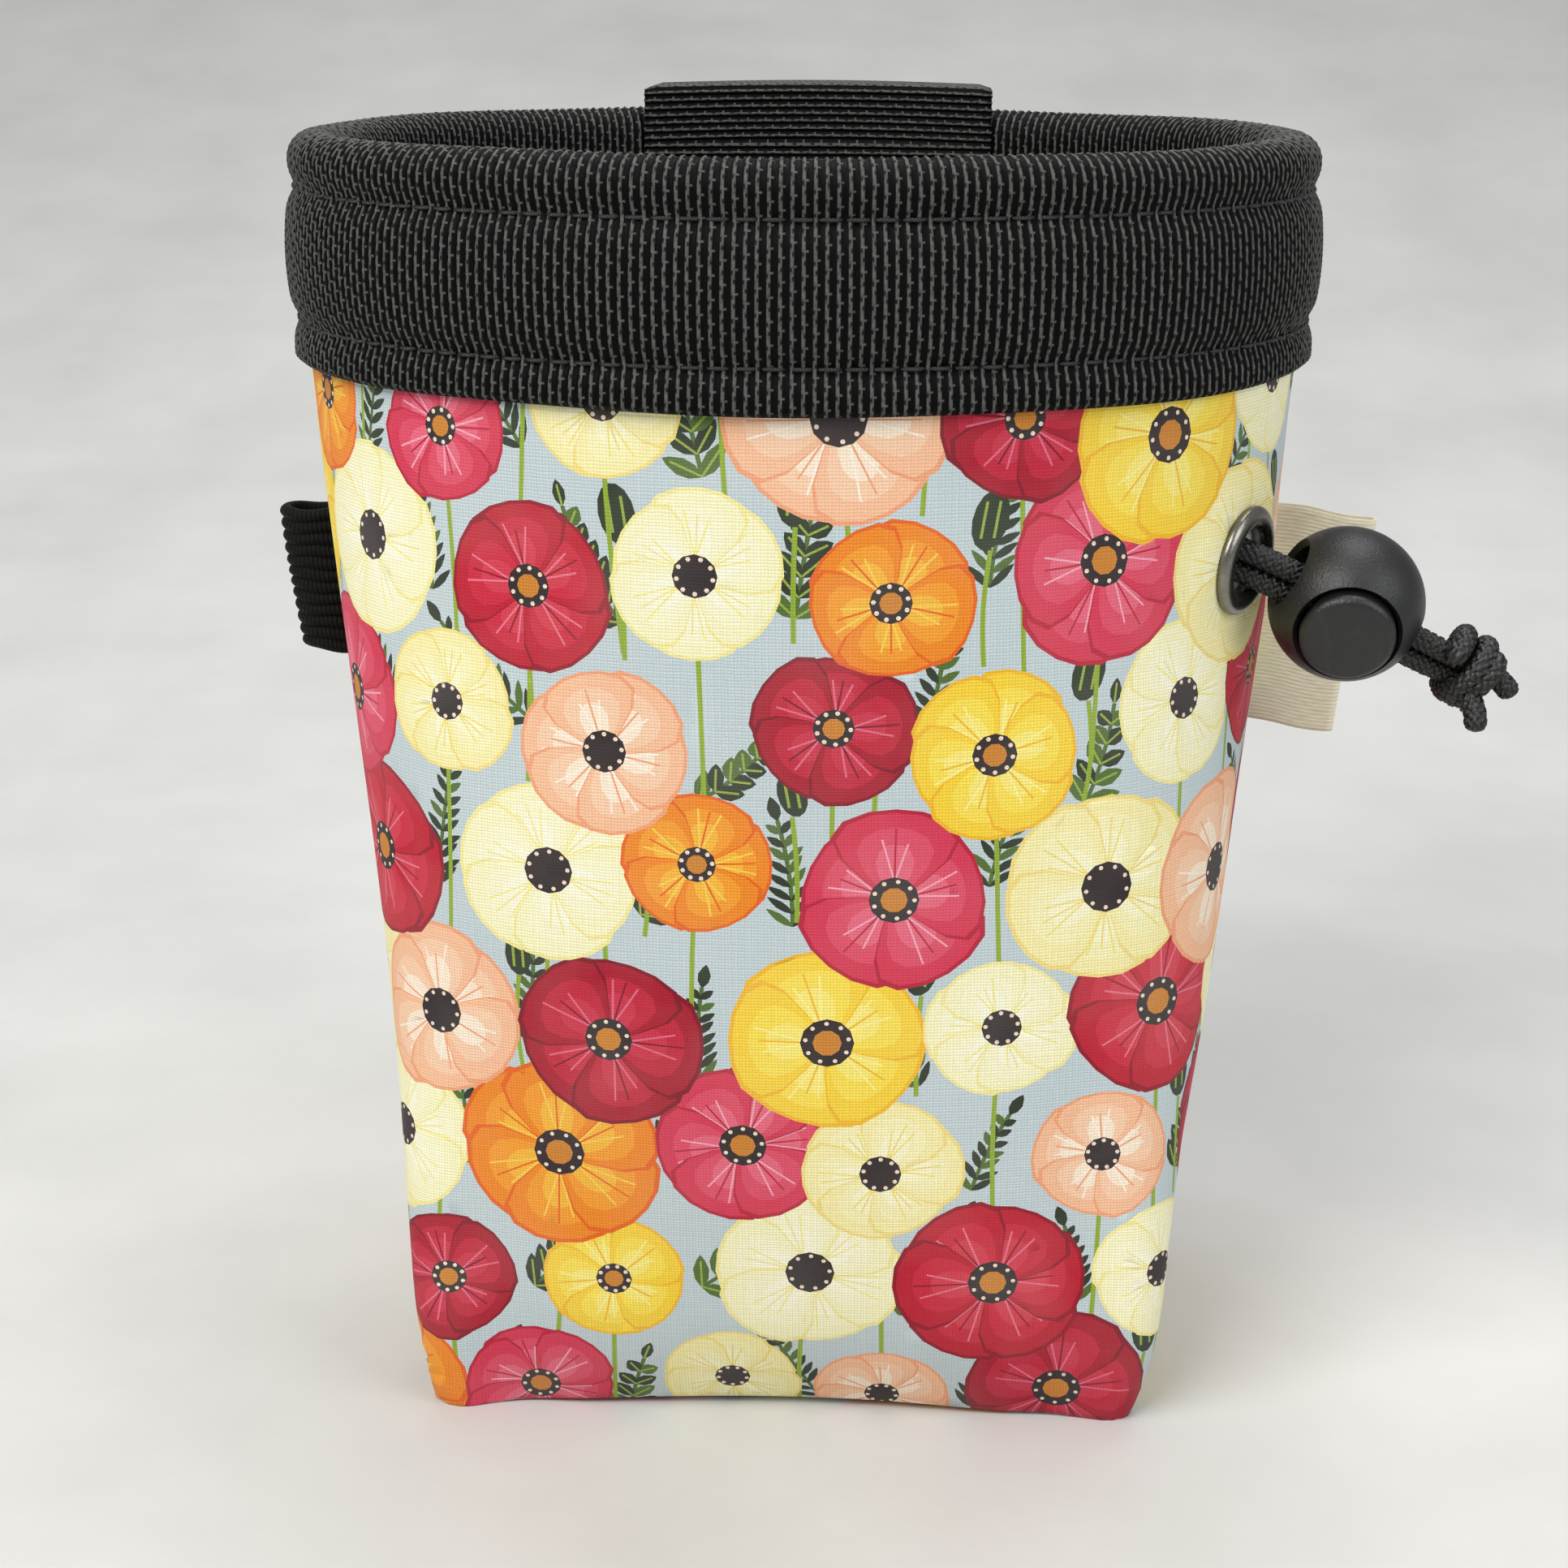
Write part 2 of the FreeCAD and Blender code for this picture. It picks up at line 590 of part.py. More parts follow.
def make_button():
    """The push button, domed, with its own cord hole that the spring holds out of line."""
    dome_radius = (BUTTON_RADIUS**2 + BUTTON_DOME**2) / (2 * BUTTON_DOME)
    length = BUTTON_TOP - BUTTON_BOTTOM
    button = Part.makeCylinder(BUTTON_RADIUS, length, Vector(0, 0, BUTTON_BOTTOM))
    button.rotate(Vector(0, 0, 0), Vector(0, 0, 1), 90)
    button = button.common(Part.makeSphere(dome_radius, Vector(0, 0, BUTTON_TOP - dome_radius)))
    rim = [edge for edge in button.Edges if edge.BoundBox.ZMin > BUTTON_TOP - BUTTON_DOME - 0.01]
    button = button.makeFillet(BUTTON_EDGE, rim)
    write("lock_button", at_lock(button.cut(cord_hole(BUTTON_TRAVEL))))


def make_spring():
    """The spring between the pocket's floor and the button's bottom."""
    low = SPRING_BOTTOM + SPRING_WIRE + SPRING_PLAY
    height = BUTTON_BOTTOM - SPRING_WIRE - SPRING_PLAY - low
    helix = Part.makeHelix(height / SPRING_TURNS, height, SPRING_RADIUS)
    corners = []
    for k in range(WIRE_FACETS):
        angle = math.tau * k / WIRE_FACETS
        x = SPRING_RADIUS + SPRING_WIRE * math.cos(angle)
        corners.append(Vector(x, 0, SPRING_WIRE * math.sin(angle)))
    section = Part.makePolygon(corners + corners[:1])
    spring = helix.makePipeShell([section], True, True)
    spring.translate(Vector(0, 0, low))
    write("lock_spring", at_lock(Part.makeCompound([spring])))


make_walls()
make_collar()
make_band()
make_rim_stitches()
make_belt_loop()
make_belt_stitches()
make_side_pieces()
make_eyelet()
make_cord()
make_knot()
make_ball()
make_button()
make_spring()
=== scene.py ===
import math
import random

import bmesh
import bpy
import numpy as np
from mathutils import Matrix, Vector
from mathutils.geometry import delaunay_2d_cdt


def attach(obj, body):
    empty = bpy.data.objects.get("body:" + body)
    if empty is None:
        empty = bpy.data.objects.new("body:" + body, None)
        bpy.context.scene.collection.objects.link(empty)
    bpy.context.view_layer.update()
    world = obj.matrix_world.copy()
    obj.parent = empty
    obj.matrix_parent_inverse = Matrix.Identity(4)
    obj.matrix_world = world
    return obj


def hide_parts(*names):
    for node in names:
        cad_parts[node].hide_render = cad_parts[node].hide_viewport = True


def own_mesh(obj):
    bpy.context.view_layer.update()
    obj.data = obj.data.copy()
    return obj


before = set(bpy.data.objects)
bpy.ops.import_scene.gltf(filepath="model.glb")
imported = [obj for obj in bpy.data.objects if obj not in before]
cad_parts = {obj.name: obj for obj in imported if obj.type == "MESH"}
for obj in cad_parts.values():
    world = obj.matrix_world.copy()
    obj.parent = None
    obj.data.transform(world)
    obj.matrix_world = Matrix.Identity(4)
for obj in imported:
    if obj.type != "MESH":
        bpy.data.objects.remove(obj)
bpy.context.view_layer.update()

# The looks of a treat pouch: printed cotton walls, a ribbed webbing mouth, a belt loop, an elastic
# loop, a tag, an eyelet, a braided drawcord with its knot, and a ball lock.
# Sizes are in millimetres, in the CAD model's frame, and become metres when a mesh is made.

MM = 0.001

# ---- the bag's outline, as in the CAD model ----
NECK_Z = 137.0
NECK_HALF_WIDTH = 62.9
NECK_HALF_DEPTH = 57.8
NECK_CORNER = 50.0
NECK_FRONT_RADIUS = 72.0
NECK_SIDE_RADIUS = 66.0
BASE_HALF_WIDTH = 48.8
BASE_HALF_DEPTH = 34.0
BASE_CORNER = 4.0
BASE_FRONT_RADIUS = 900.0
BASE_SIDE_RADIUS = 500.0
TUCK_HEIGHT = 18.0
TUCK_WIDTH = 1.8
TUCK_DEPTH = 2.0
CORNER_GROWTH = 1.4
TABLE_TOP = 170  # the outline is worked out for each whole millimetre up to here
TABLE_STEPS = 400
FRONT, BACK = -1, 1

# ---- the cord, as in the CAD model ----
CORD_DIAMETER = 2.7
STRAND_UPPER = [(52.0, -26.7, 117.8), (56.0, -29.1, 117.2), (78.6, -27.4, 105.2)]
STRAND_LOWER = [(50.7, -25.8, 115.2), (54.7, -28.1, 114.7), (77.3, -26.4, 102.9)]
TAIL_UPPER = [(84.9, -26.6, 102.0), (87.3, -27.0, 100.9), (88.6, -26.8, 98.9)]
TAIL_LOWER = [(82.9, -27.8, 99.4), (83.9, -29.5, 97.5), (83.7, -30.2, 95.2)]
KNOT_CENTRE = Vector((81.6, -25.1, 102.7))
CORD_AXIS = Vector((0.88, 0.07, -0.47)).normalized()
LOCK_FACES = Vector((-0.10, -0.94, -0.32))
CORD_FRONT = (LOCK_FACES - CORD_AXIS * LOCK_FACES.dot(CORD_AXIS)).normalized()
CORD_TOP = CORD_FRONT.cross(CORD_AXIS)
EYELET_CENTRE = Vector((54.6, -28.0, 115.8))
EYELET_AZIMUTH = -31.0
EYELET_DROP = -7.0


# ---- small helpers ----
def run_length(line):
    """The length along a line up to each of its points."""
    return np.concatenate([[0], np.cumsum(np.linalg.norm(np.diff(line, axis=0), axis=1))])


def mixed(low, high, share):
    """The value a share of the way from low to high."""
    return low + (high - low) * share


def ease(value, low, high):
    """0 below low, 1 above high and smooth between them."""
    t = np.clip((value - low) / (high - low), 0.0, 1.0)
    return t * t * (3 - 2 * t)


def hump(value, middle, width):
    """A smooth hump of height 1."""
    return np.exp(-(((value - middle) / width) ** 2))


def grid_faces(rows, columns, first=0, closed_rows=False, closed_columns=False):
    """The quads of a grid of points, numbered row by row."""
    faces = []
    for r in range(rows if closed_rows else rows - 1):
        below, above = first + r * columns, first + (r + 1) % rows * columns
        for c in range(columns if closed_columns else columns - 1):
            right = (c + 1) % columns
            faces.append((below + c, below + right, above + right, above + c))
    return faces


def tube_faces(rings, around, first=0):
    """The faces of a tube of points with both ends closed."""
    last = first + (rings - 1) * around
    start = tuple(first + k for k in range(around))
    end = tuple(last + k for k in reversed(range(around)))
    return grid_faces(rings, around, first, False, True) + [start, end]


def mesh_piece(name, points, faces, material, smooth=True):
    """A new piece from points in millimetres, with its faces turned outwards."""
    mesh = bpy.data.meshes.new(name)
    mesh.from_pydata((np.asarray(points, float) * MM).tolist(), [], faces)
    work = bmesh.new()
    work.from_mesh(mesh)
    bmesh.ops.recalc_face_normals(work, faces=work.faces)
    work.to_mesh(mesh)
    work.free()
    mesh.polygons.foreach_set("use_smooth", [smooth] * len(mesh.polygons))
    mesh.materials.append(material)
    piece = bpy.data.objects.new(name, mesh)
    bpy.context.scene.collection.objects.link(piece)
    return piece


def point_attribute(piece, name, values):
    """Give each point of a piece a vector that its material reads."""
    values = np.asarray(values, np.float32)
    padded = np.zeros((len(values), 3), np.float32)
    padded[:, : values.shape[1]] = values
    piece.data.attributes.new(name, "FLOAT_VECTOR", "POINT").data.foreach_set("vector", padded.ravel())


def slab(name, outer, inner, material, closed_columns=False):
    """A closed sheet between two grids of points with the same rows and columns."""
    rows, columns = outer.shape[:2]
    count = rows * columns
    faces = grid_faces(rows, columns, 0, closed_columns=closed_columns)
    faces += grid_faces(rows, columns, count, closed_columns=closed_columns)
    steps = range(columns if closed_columns else columns - 1)
    for row in (0, rows - 1):
        edge = [row * columns + c for c in range(columns)]
        for c in steps:
            here, ahead = edge[c], edge[(c + 1) % columns]
            faces.append((here, ahead, ahead + count, here + count))
    if not closed_columns:
        for column in (0, columns - 1):
            edge = [r * columns + column for r in range(rows)]
            faces += [(a, b, b + count, a + count) for a, b in zip(edge, edge[1:])]
    points = np.concatenate([outer.reshape(-1, 3), inner.reshape(-1, 3)])
    return mesh_piece(name, points, faces, material)


def dress(piece, body, slot, *nodes):
    """Say which body a piece rides on and the CAD nodes it stands for; its material slot is not used."""
    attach(piece, body)
    if nodes:
        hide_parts(*nodes)
    return piece


# ---- the camera ----
CAMERA_PLACE = Vector((14.737, -359.205, 184.0))
CAMERA_FORWARD = Vector((-0.04519, 0.95825, -0.28234)).normalized()
CAMERA_ROLL = 0.23  # degrees
LENS = 63.354


def make_camera():
    """A camera at the photograph's viewing angle."""
    camera = bpy.data.cameras.new("camera")
    camera.lens = LENS
    camera.sensor_width = 36.0
    camera.clip_start = 0.01
    right = CAMERA_FORWARD.cross(Vector((0, 0, 1))).normalized()
    up = right.cross(CAMERA_FORWARD)
    roll = math.radians(CAMERA_ROLL)
    x_axis = right * math.cos(roll) + up * math.sin(roll)
    y_axis = up * math.cos(roll) - right * math.sin(roll)
    place = Matrix((x_axis, y_axis, -CAMERA_FORWARD)).transposed().to_4x4()
    place.translation = CAMERA_PLACE * MM
    holder = bpy.data.objects.new("camera", camera)
    holder.matrix_world = place
    bpy.context.scene.collection.objects.link(holder)
    bpy.context.scene.camera = holder


# ---- materials ----
def ink(red, green, blue):
    """A colour from 0 to 255 values, made linear."""
    parts = [v / 255 for v in (red, green, blue)]
    return tuple(v / 12.92 if v <= 0.04045 else ((v + 0.055) / 1.055) ** 2.4 for v in parts) + (1.0,)


class Finish:
    """A material made of nodes that end in one Principled shader."""

    def __init__(self, name, **values):
        self.material = bpy.data.materials.new(name)
        self.material.use_nodes = True
        self.tree = self.material.node_tree
        self.shader = self.tree.nodes["Principled BSDF"]
        for key, value in values.items():
            self.shader.inputs[key.replace("_", " ")].default_value = value

    def put(self, socket, value):
        if isinstance(value, bpy.types.NodeSocket):
            self.tree.links.new(value, socket)
        else:
            socket.default_value = value

    def node(self, kind, values=(), **settings):
        made = self.tree.nodes.new(kind)
        for key, value in settings.items():
            setattr(made, key, value)
        for key, value in dict(values).items():
            self.put(made.inputs[key], value)
        return made

    def math(self, operation, *values):
        return self.node("ShaderNodeMath", enumerate(values), operation=operation).outputs[0]

    def span(self, value, low, high, to_low=0.0, to_high=1.0):
        """A value from low to high, clamped and moved to another range."""
        values = {"Value": value, "From Min": low, "From Max": high, "To Min": to_low, "To Max": to_high}
        return self.node("ShaderNodeMapRange", values).outputs[0]

    def mix(self, share, first, second, blend="MIX"):
        sockets = {0: share, 6: first, 7: second}
        made = self.node("ShaderNodeMix", sockets, data_type="RGBA", blend_type=blend)
        return made.outputs[2]

    def object_place(self, stretch=(1.0, 1.0, 1.0)):
        """Where a point is, in millimetres of the object's frame, scaled per axis."""
        place = self.node("ShaderNodeTexCoord").outputs["Object"]
        scale = tuple(s / MM for s in stretch)
        return self.node("ShaderNodeVectorMath", {0: place, 1: scale}, operation="MULTIPLY").outputs[0]

    def cloth_place(self, stretch=(1.0, 1.0, 1.0)):
        """Where a point is on the cloth, in millimetres, scaled per axis."""
        place = self.node("ShaderNodeAttribute", attribute_name="cloth").outputs["Vector"]
        return self.node("ShaderNodeVectorMath", {0: place, 1: stretch}, operation="MULTIPLY").outputs[0]

    def along(self, place, axis):
        return self.node("ShaderNodeSeparateXYZ", {0: place}).outputs[axis]

    def noise(self, place, size, detail=2.0, rough=0.5):
        """Noise from 0 to 1 with features about this many millimetres across."""
        values = {"Vector": place, "Scale": 1.0 / size, "Detail": detail, "Roughness": rough}
        return self.node("ShaderNodeTexNoise", values).outputs["Fac"]

    def ripple(self, value, pitch, shift=0.0):
        """A wave from 0 to 1 that repeats every pitch."""
        angle = self.math("MULTIPLY_ADD", value, math.tau / pitch, shift)
        return self.math("MULTIPLY_ADD", self.math("COSINE", angle), 0.5, 0.5)

    def relief(self, height, depth, before=None):
        """Bump of this depth in millimetres, from a height of 0 to 1."""
        values = {"Height": height, "Distance": depth * MM, "Strength": 1.0}
        if before is not None:
            values["Normal"] = before
        return self.node("ShaderNodeBump", values).outputs[0]

    def finish(self, colour=None, roughness=None, normal=None):
        for key, value in (("Base Color", colour), ("Roughness", roughness), ("Normal", normal)):
            if value is not None:
                self.put(self.shader.inputs[key], value)
        return self.material


WEAVE_PITCH = 0.4


def printed_cotton():
    """Plain-woven cotton, its print read from the faces."""
    f = Finish("printed_cotton", Sheen_Weight=0.05, Sheen_Roughness=0.45, Specular_IOR_Level=0.25)
    print_ink = f.node("ShaderNodeAttribute", attribute_name="ink").outputs["Color"]
    cloth = f.cloth_place()
    wander = f.noise(cloth, 1.6, 2.0)
    across = f.math("MULTIPLY_ADD", wander, 0.25, f.along(cloth, 0))
    up = f.math("MULTIPLY_ADD", wander, 0.25, f.along(cloth, 1))
    warp, weft = f.ripple(across, WEAVE_PITCH), f.ripple(up, WEAVE_PITCH)
    odd = f.math("MULTIPLY", f.ripple(across, 2 * WEAVE_PITCH, 0.7), f.ripple(up, 2 * WEAVE_PITCH, 0.7))
    weave = f.math("ADD", f.math("MULTIPLY", warp, weft), f.math("MULTIPLY", odd, 0.2))
    lengthwise = f.noise(f.cloth_place((0.12, 3.0, 1.0)), 1.0)
    slub = f.math("ADD", lengthwise, f.noise(f.cloth_place((3.0, 0.12, 1.0)), 1.0))
    # Painted shade of the weave: the thread crowns are lighter and the gaps darker, with the strength
    # varying along the slub.
    shade = f.math("MULTIPLY_ADD", f.math("MULTIPLY", weave, slub), 0.26, 0.76)
    tone = f.node("ShaderNodeCombineColor", {0: shade, 1: shade, 2: shade}).outputs[0]
    colour = f.mix(1.0, print_ink, tone, "MULTIPLY")
    fade = f.span(f.noise(cloth, 14.0, 3.0), 0.35, 0.75, 0.0, 0.05)
    colour = f.mix(fade, colour, ink(236, 234, 224))
    return f.finish(colour, f.span(slub, 0.6, 1.4, 0.74, 0.92), f.relief(weave, 0.05))


def webbing_finish(name, pitch, light, thread_pitch):
    """Heavy black nylon webbing with ribs along the cloth's second axis."""
    f = Finish(name, Specular_IOR_Level=0.08)
    cloth = f.cloth_place()
    across, up = f.along(cloth, 0), f.along(cloth, 1)
    # Painted highlight: the rib crowns and the cross links at the knots are coloured pale grey over the
    # near-black nylon, with painted shade in the gaps at the knots.
    ridge = f.span(f.ripple(across, pitch), 0.6, 0.85)
    stagger = f.math("MULTIPLY", f.math("FLOOR", f.math("DIVIDE", across, pitch)), thread_pitch * 0.37)
    knots = f.ripple(f.math("ADD", up, stagger), thread_pitch)
    gap = f.span(knots, 0.02, 0.14, 0.15, 1.0)
    link = f.math("MULTIPLY", f.span(f.ripple(across, pitch, -1.4), 0.5, 0.8), f.span(knots, 0.95, 0.99))
    thread = f.math("MAXIMUM", f.math("MULTIPLY", ridge, gap), link)
    # A patchy noise dims the painted highlight in places.
    wear_and_sheen = f.span(f.noise(cloth, 0.7, 3.0, 0.6), 0.3, 0.6, 0.45, 1.0)
    lit = f.math("MULTIPLY", thread, wear_and_sheen)
    colour = f.mix(lit, ink(2, 2, 2), ink(light, light, light - 3))
    fibre = f.noise(f.cloth_place((6.0, 0.8, 1.0)), 0.5, 2.0)
    normal = f.relief(f.math("MULTIPLY_ADD", fibre, 0.3, thread), 0.16)
    return f.finish(colour, f.span(fibre, 0.3, 0.7, 0.5, 0.7), normal)


def thread_finish():
    """Bonded thread, twisted, a little glossy."""
    f = Finish("sewing_thread", Specular_IOR_Level=0.45)
    place = f.object_place()
    twist = f.ripple(f.math("ADD", f.along(place, 0), f.math("MULTIPLY", f.along(place, 2), 1.4)), 0.34)
    # Painted highlight: the twist's crowns are coloured paler than its grooves.
    colour = f.mix(twist, ink(8, 8, 8), ink(40, 40, 39))
    return f.finish(colour, f.span(f.noise(place, 0.4), 0.3, 0.7, 0.38, 0.55), f.relief(twist, 0.05))


def elastic_finish():
    """Black ribbed elastic, soft and matt."""
    f = Finish("ribbed_elastic", Sheen_Weight=0.02, Sheen_Roughness=0.5, Specular_IOR_Level=0.1)
    cloth = f.cloth_place()
    wales = f.ripple(f.along(cloth, 0), 0.55, 0.4)
    fuzz = f.noise(f.cloth_place((3.0, 1.0, 1.0)), 0.6, 3.0)
    # Painted highlight: the wales' crowns are coloured paler than their valleys, and the fuzz varies the
    # tone at random.
    colour = f.mix(f.math("MULTIPLY", wales, fuzz), ink(5, 6, 5), ink(30, 30, 28))
    return f.finish(colour, f.span(fuzz, 0.3, 0.7, 0.6, 0.85), f.relief(f.math("ADD", wales, fuzz), 0.07))


def tape_finish():
    """Unbleached cotton tape with fine cross ribs and soft stains of age."""
    f = Finish("cotton_tape", Sheen_Weight=0.2, Sheen_Roughness=0.5, Specular_IOR_Level=0.25)
    cloth = f.cloth_place()
    rib = f.ripple(f.along(cloth, 1), 0.5)
    grain = f.noise(f.cloth_place((0.5, 4.0, 1.0)), 1.0, 3.0)
    # The cross ribs' crowns are painted lighter, a painted highlight; the grain is the tape's own tone.
    tone = f.span(f.math("MULTIPLY_ADD", rib, 0.35, grain), 0.3, 1.0)
    colour = f.mix(tone, ink(196, 186, 158), ink(232, 225, 201))
    mark = f.node("ShaderNodeAttribute", attribute_name="ink").outputs["Fac"]
    colour = f.mix(mark, colour, ink(52, 50, 48))
    return f.finish(colour, f.span(grain, 0.3, 0.7, 0.75, 0.9), f.relief(f.math("ADD", rib, grain), 0.05))


def nylon_finish(name, dark, light):
    """Coated nylon lining: a fine square weave with a dull shine and soft creases."""
    f = Finish(name, Specular_IOR_Level=0.4)
    place = f.object_place()
    weave = f.math("MULTIPLY", f.ripple(f.along(place, 0), 0.5), f.ripple(f.along(place, 2), 0.5))
    crease = f.noise(place, 9.0, 4.0, 0.6)
    # Painted shade and highlight: the weave's crowns and the crease tops are coloured lighter, and the
    # weave's gaps and the crease folds darker.
    colour = f.mix(f.math("MULTIPLY_ADD", weave, 0.25, f.math("MULTIPLY", crease, 0.75)), dark, light)
    normal = f.relief(weave, 0.04, f.relief(crease, 0.8))
    return f.finish(colour, f.span(crease, 0.3, 0.7, 0.4, 0.6), normal)


def fleece_finish():
    """White fusible fleece."""
    f = Finish("fusible_fleece", Sheen_Weight=0.4, Sheen_Roughness=0.6)
    hair = f.noise(f.object_place(), 0.8, 5.0, 0.7)
    colour = f.mix(hair, ink(205, 204, 198), ink(240, 240, 236))
    return f.finish(colour, f.span(hair, 0.2, 0.8, 0.85, 1.0), f.relief(hair, 0.3))


def cord_finish():
    """Glossy black braided nylon. The braid is in the mesh, and its height in the third axis."""
    f = Finish("braided_cord", Specular_IOR_Level=0.4)
    height = f.along(f.cloth_place(), 2)
    fibre = f.noise(f.cloth_place((2.2, 2.2, 0.0)), 0.35, 3.0, 0.6)
    # Painted highlight: the braid's yarn crowns are coloured pale grey, and the hollows between them are
    # near-black as painted shade.
    lit = f.math("MULTIPLY", f.span(height, 0.35, 1.0), f.span(fibre, 0.3, 0.6, 0.3, 1.0))
    colour = f.mix(lit, ink(2, 2, 2), ink(50, 50, 48))
    return f.finish(colour, f.span(fibre, 0.3, 0.7, 0.26, 0.42), f.relief(fibre, 0.05))


def plastic_finish(name, colour, rough, grain):
    """Moulded plastic with a fine spark-eroded grain and a few scuffs."""
    f = Finish(name, Specular_IOR_Level=0.5)
    place = f.object_place()
    spots = f.noise(place, grain, 3.0, 0.6)
    scuff = f.span(f.noise(f.object_place((1.0, 1.0, 0.25)), 2.2, 5.0, 0.65), 0.58, 0.72)
    paler = tuple(min(1.0, 1.35 * c + 0.002) for c in colour[:3]) + (1.0,)
    tone = f.mix(f.span(f.noise(place, 6.0), 0.3, 0.7), colour, paler)
    wear_and_sheen = f.mix(f.math("MULTIPLY", scuff, 0.03), tone, ink(150, 150, 150))
    mottled = f.span(spots, 0.3, 0.7, rough - 0.05, rough + 0.07)
    roughness = f.math("ADD", mottled, f.math("MULTIPLY", scuff, -0.06))
    return f.finish(wear_and_sheen, roughness, f.relief(spots, 0.09))


def metal_finish(name, colour, rough):
    """Plated metal with fine turning marks and slight tarnish."""
    f = Finish(name, Metallic=1.0)
    place = f.object_place()
    fine = f.noise(place, 0.3, 4.0, 0.6)
    tarnish = f.span(f.noise(place, 3.0, 4.0, 0.6), 0.45, 0.75)
    dull = tuple(0.55 * c for c in colour[:3]) + (1.0,)
    tone = f.mix(f.math("MULTIPLY", tarnish, 0.5), colour, dull)
    polished = f.span(fine, 0.3, 0.7, rough - 0.04, rough + 0.06)
    roughness = f.math("ADD", polished, f.math("MULTIPLY", tarnish, 0.12))
    return f.finish(tone, roughness, f.relief(fine, 0.02))


def floor_finish():
    """A pale, matt floor with a faint mottle."""
    f = Finish("pale_floor", Specular_IOR_Level=0.3)
    place = f.object_place()
    mottle = f.noise(place, 60.0, 4.0, 0.55)
    colour = f.mix(f.span(mottle, 0.3, 0.7), ink(192, 192, 189), ink(202, 202, 199))
    return f.finish(colour, f.span(mottle, 0.3, 0.7, 0.5, 0.62), f.relief(f.noise(place, 2.0, 3.0), 0.05))


COTTON = printed_cotton()
WEBBING = webbing_finish("ribbed_webbing", 1.24, 86, 2.6)
THREAD = thread_finish()
ELASTIC = elastic_finish()
TAPE = tape_finish()
LINING = nylon_finish("coated_nylon", ink(38, 39, 41), ink(66, 67, 70))
COLLAR_CLOTH = nylon_finish("collar_nylon", ink(24, 24, 26), ink(52, 52, 55))
FLEECE = fleece_finish()
CORD = cord_finish()
LOCK_PLASTIC = plastic_finish("grained_plastic", ink(12, 12, 13), 0.38, 0.3)
BUTTON_PLASTIC = plastic_finish("button_plastic", ink(14, 14, 15), 0.38, 0.35)
STRIP_PLASTIC = plastic_finish("strip_plastic", ink(214, 214, 208), 0.5, 0.8)
NICKEL = metal_finish("nickel_plate", ink(132, 129, 121), 0.26)
SPRING = metal_finish("spring_wire", ink(190, 190, 192), 0.3)
FLOOR = floor_finish()


# ---- the outline, measured along the cloth ----
class Outline:
    """The bag's outline at every height, measured from the middle of a panel to its seams."""

    def __init__(self):
        rows = [self.row(z) for z in range(TABLE_TOP + 1)]
        self.quarters = np.array([length for length, columns in rows])
        self.table = np.array([columns for length, columns in rows])

    def row(self, z):
        """The length of a quarter of the outline, and its x, y and normal at even steps."""
        share = min(z / NECK_Z, 1.0)
        tuck = max(0.0, 1.0 - z / TUCK_HEIGHT) ** 2
        half_width = mixed(BASE_HALF_WIDTH, NECK_HALF_WIDTH, share) - TUCK_WIDTH * tuck
        half_depth = mixed(BASE_HALF_DEPTH, NECK_HALF_DEPTH, share) - TUCK_DEPTH * tuck
        corner = mixed(BASE_CORNER, NECK_CORNER, share**CORNER_GROWTH)
        front = 1.0 / mixed(1.0 / BASE_FRONT_RADIUS, 1.0 / NECK_FRONT_RADIUS, share)
        side = 1.0 / mixed(1.0 / BASE_SIDE_RADIUS, 1.0 / NECK_SIDE_RADIUS, share)
        front_y, side_x = half_depth - front, half_width - side
        apart = math.hypot(side_x, front_y)
        along = ((front - corner) ** 2 - (side - corner) ** 2 + apart**2) / (2 * apart)
        across = math.sqrt((front - corner) ** 2 - along**2)
        corner_x = (side_x * along + abs(front_y) * across) / apart
        corner_y = front_y + (-front_y * along + abs(side_x) * across) / apart
        angle = np.radians(np.linspace(90.0, 0.0, 361))
        cosine, sine = np.cos(angle), np.sin(angle)
        on_side = angle < math.asin(corner_y / (side - corner))
        on_front = angle > math.acos(corner_x / (front - corner))
        x = np.where(on_side, side_x + side * cosine, corner_x + corner * cosine)
        y = np.where(on_side, side * sine, corner_y + corner * sine)
        x = np.where(on_front, front * cosine, x)
        y = np.where(on_front, front_y + front * sine, y)
        length = np.concatenate([[0.0], np.cumsum(np.hypot(np.diff(x), np.diff(y)))])
        steps = np.linspace(0.0, length[-1], TABLE_STEPS + 1)
        return length[-1], [np.interp(steps, length, v) for v in (x, y, cosine, sine)]

    def quarter(self, z):
        """The cloth's length from the middle of a panel to its seam."""
        return np.interp(z, np.arange(TABLE_TOP + 1), self.quarters)

    def place(self, share, z, side, offset=0.0):
        """Points at shares of the way from a panel's middle (0) to its seams (-1 and 1)."""
        share, z, offset = (np.asarray(v, float) for v in np.broadcast_arrays(share, z, offset))
        level = np.clip(z, 0.0, TABLE_TOP - 1e-6)
        low = level.astype(int)
        up = level - low
        column = np.clip(np.abs(share), 0.0, 1.0) * TABLE_STEPS
        left = np.minimum(column.astype(int), TABLE_STEPS - 1)
        over = column - left
        values = []
        for k in range(4):
            lower = mixed(self.table[low, k, left], self.table[low, k, left + 1], over)
            upper = mixed(self.table[low + 1, k, left], self.table[low + 1, k, left + 1], over)
            values.append(mixed(lower, upper, up))
        x, y, normal_x, normal_y = values
        signs = np.where(share < 0, -1.0, 1.0)
        return np.stack([signs * (x + offset * normal_x), side * (y + offset * normal_y), z], -1)


OUTLINE = Outline()


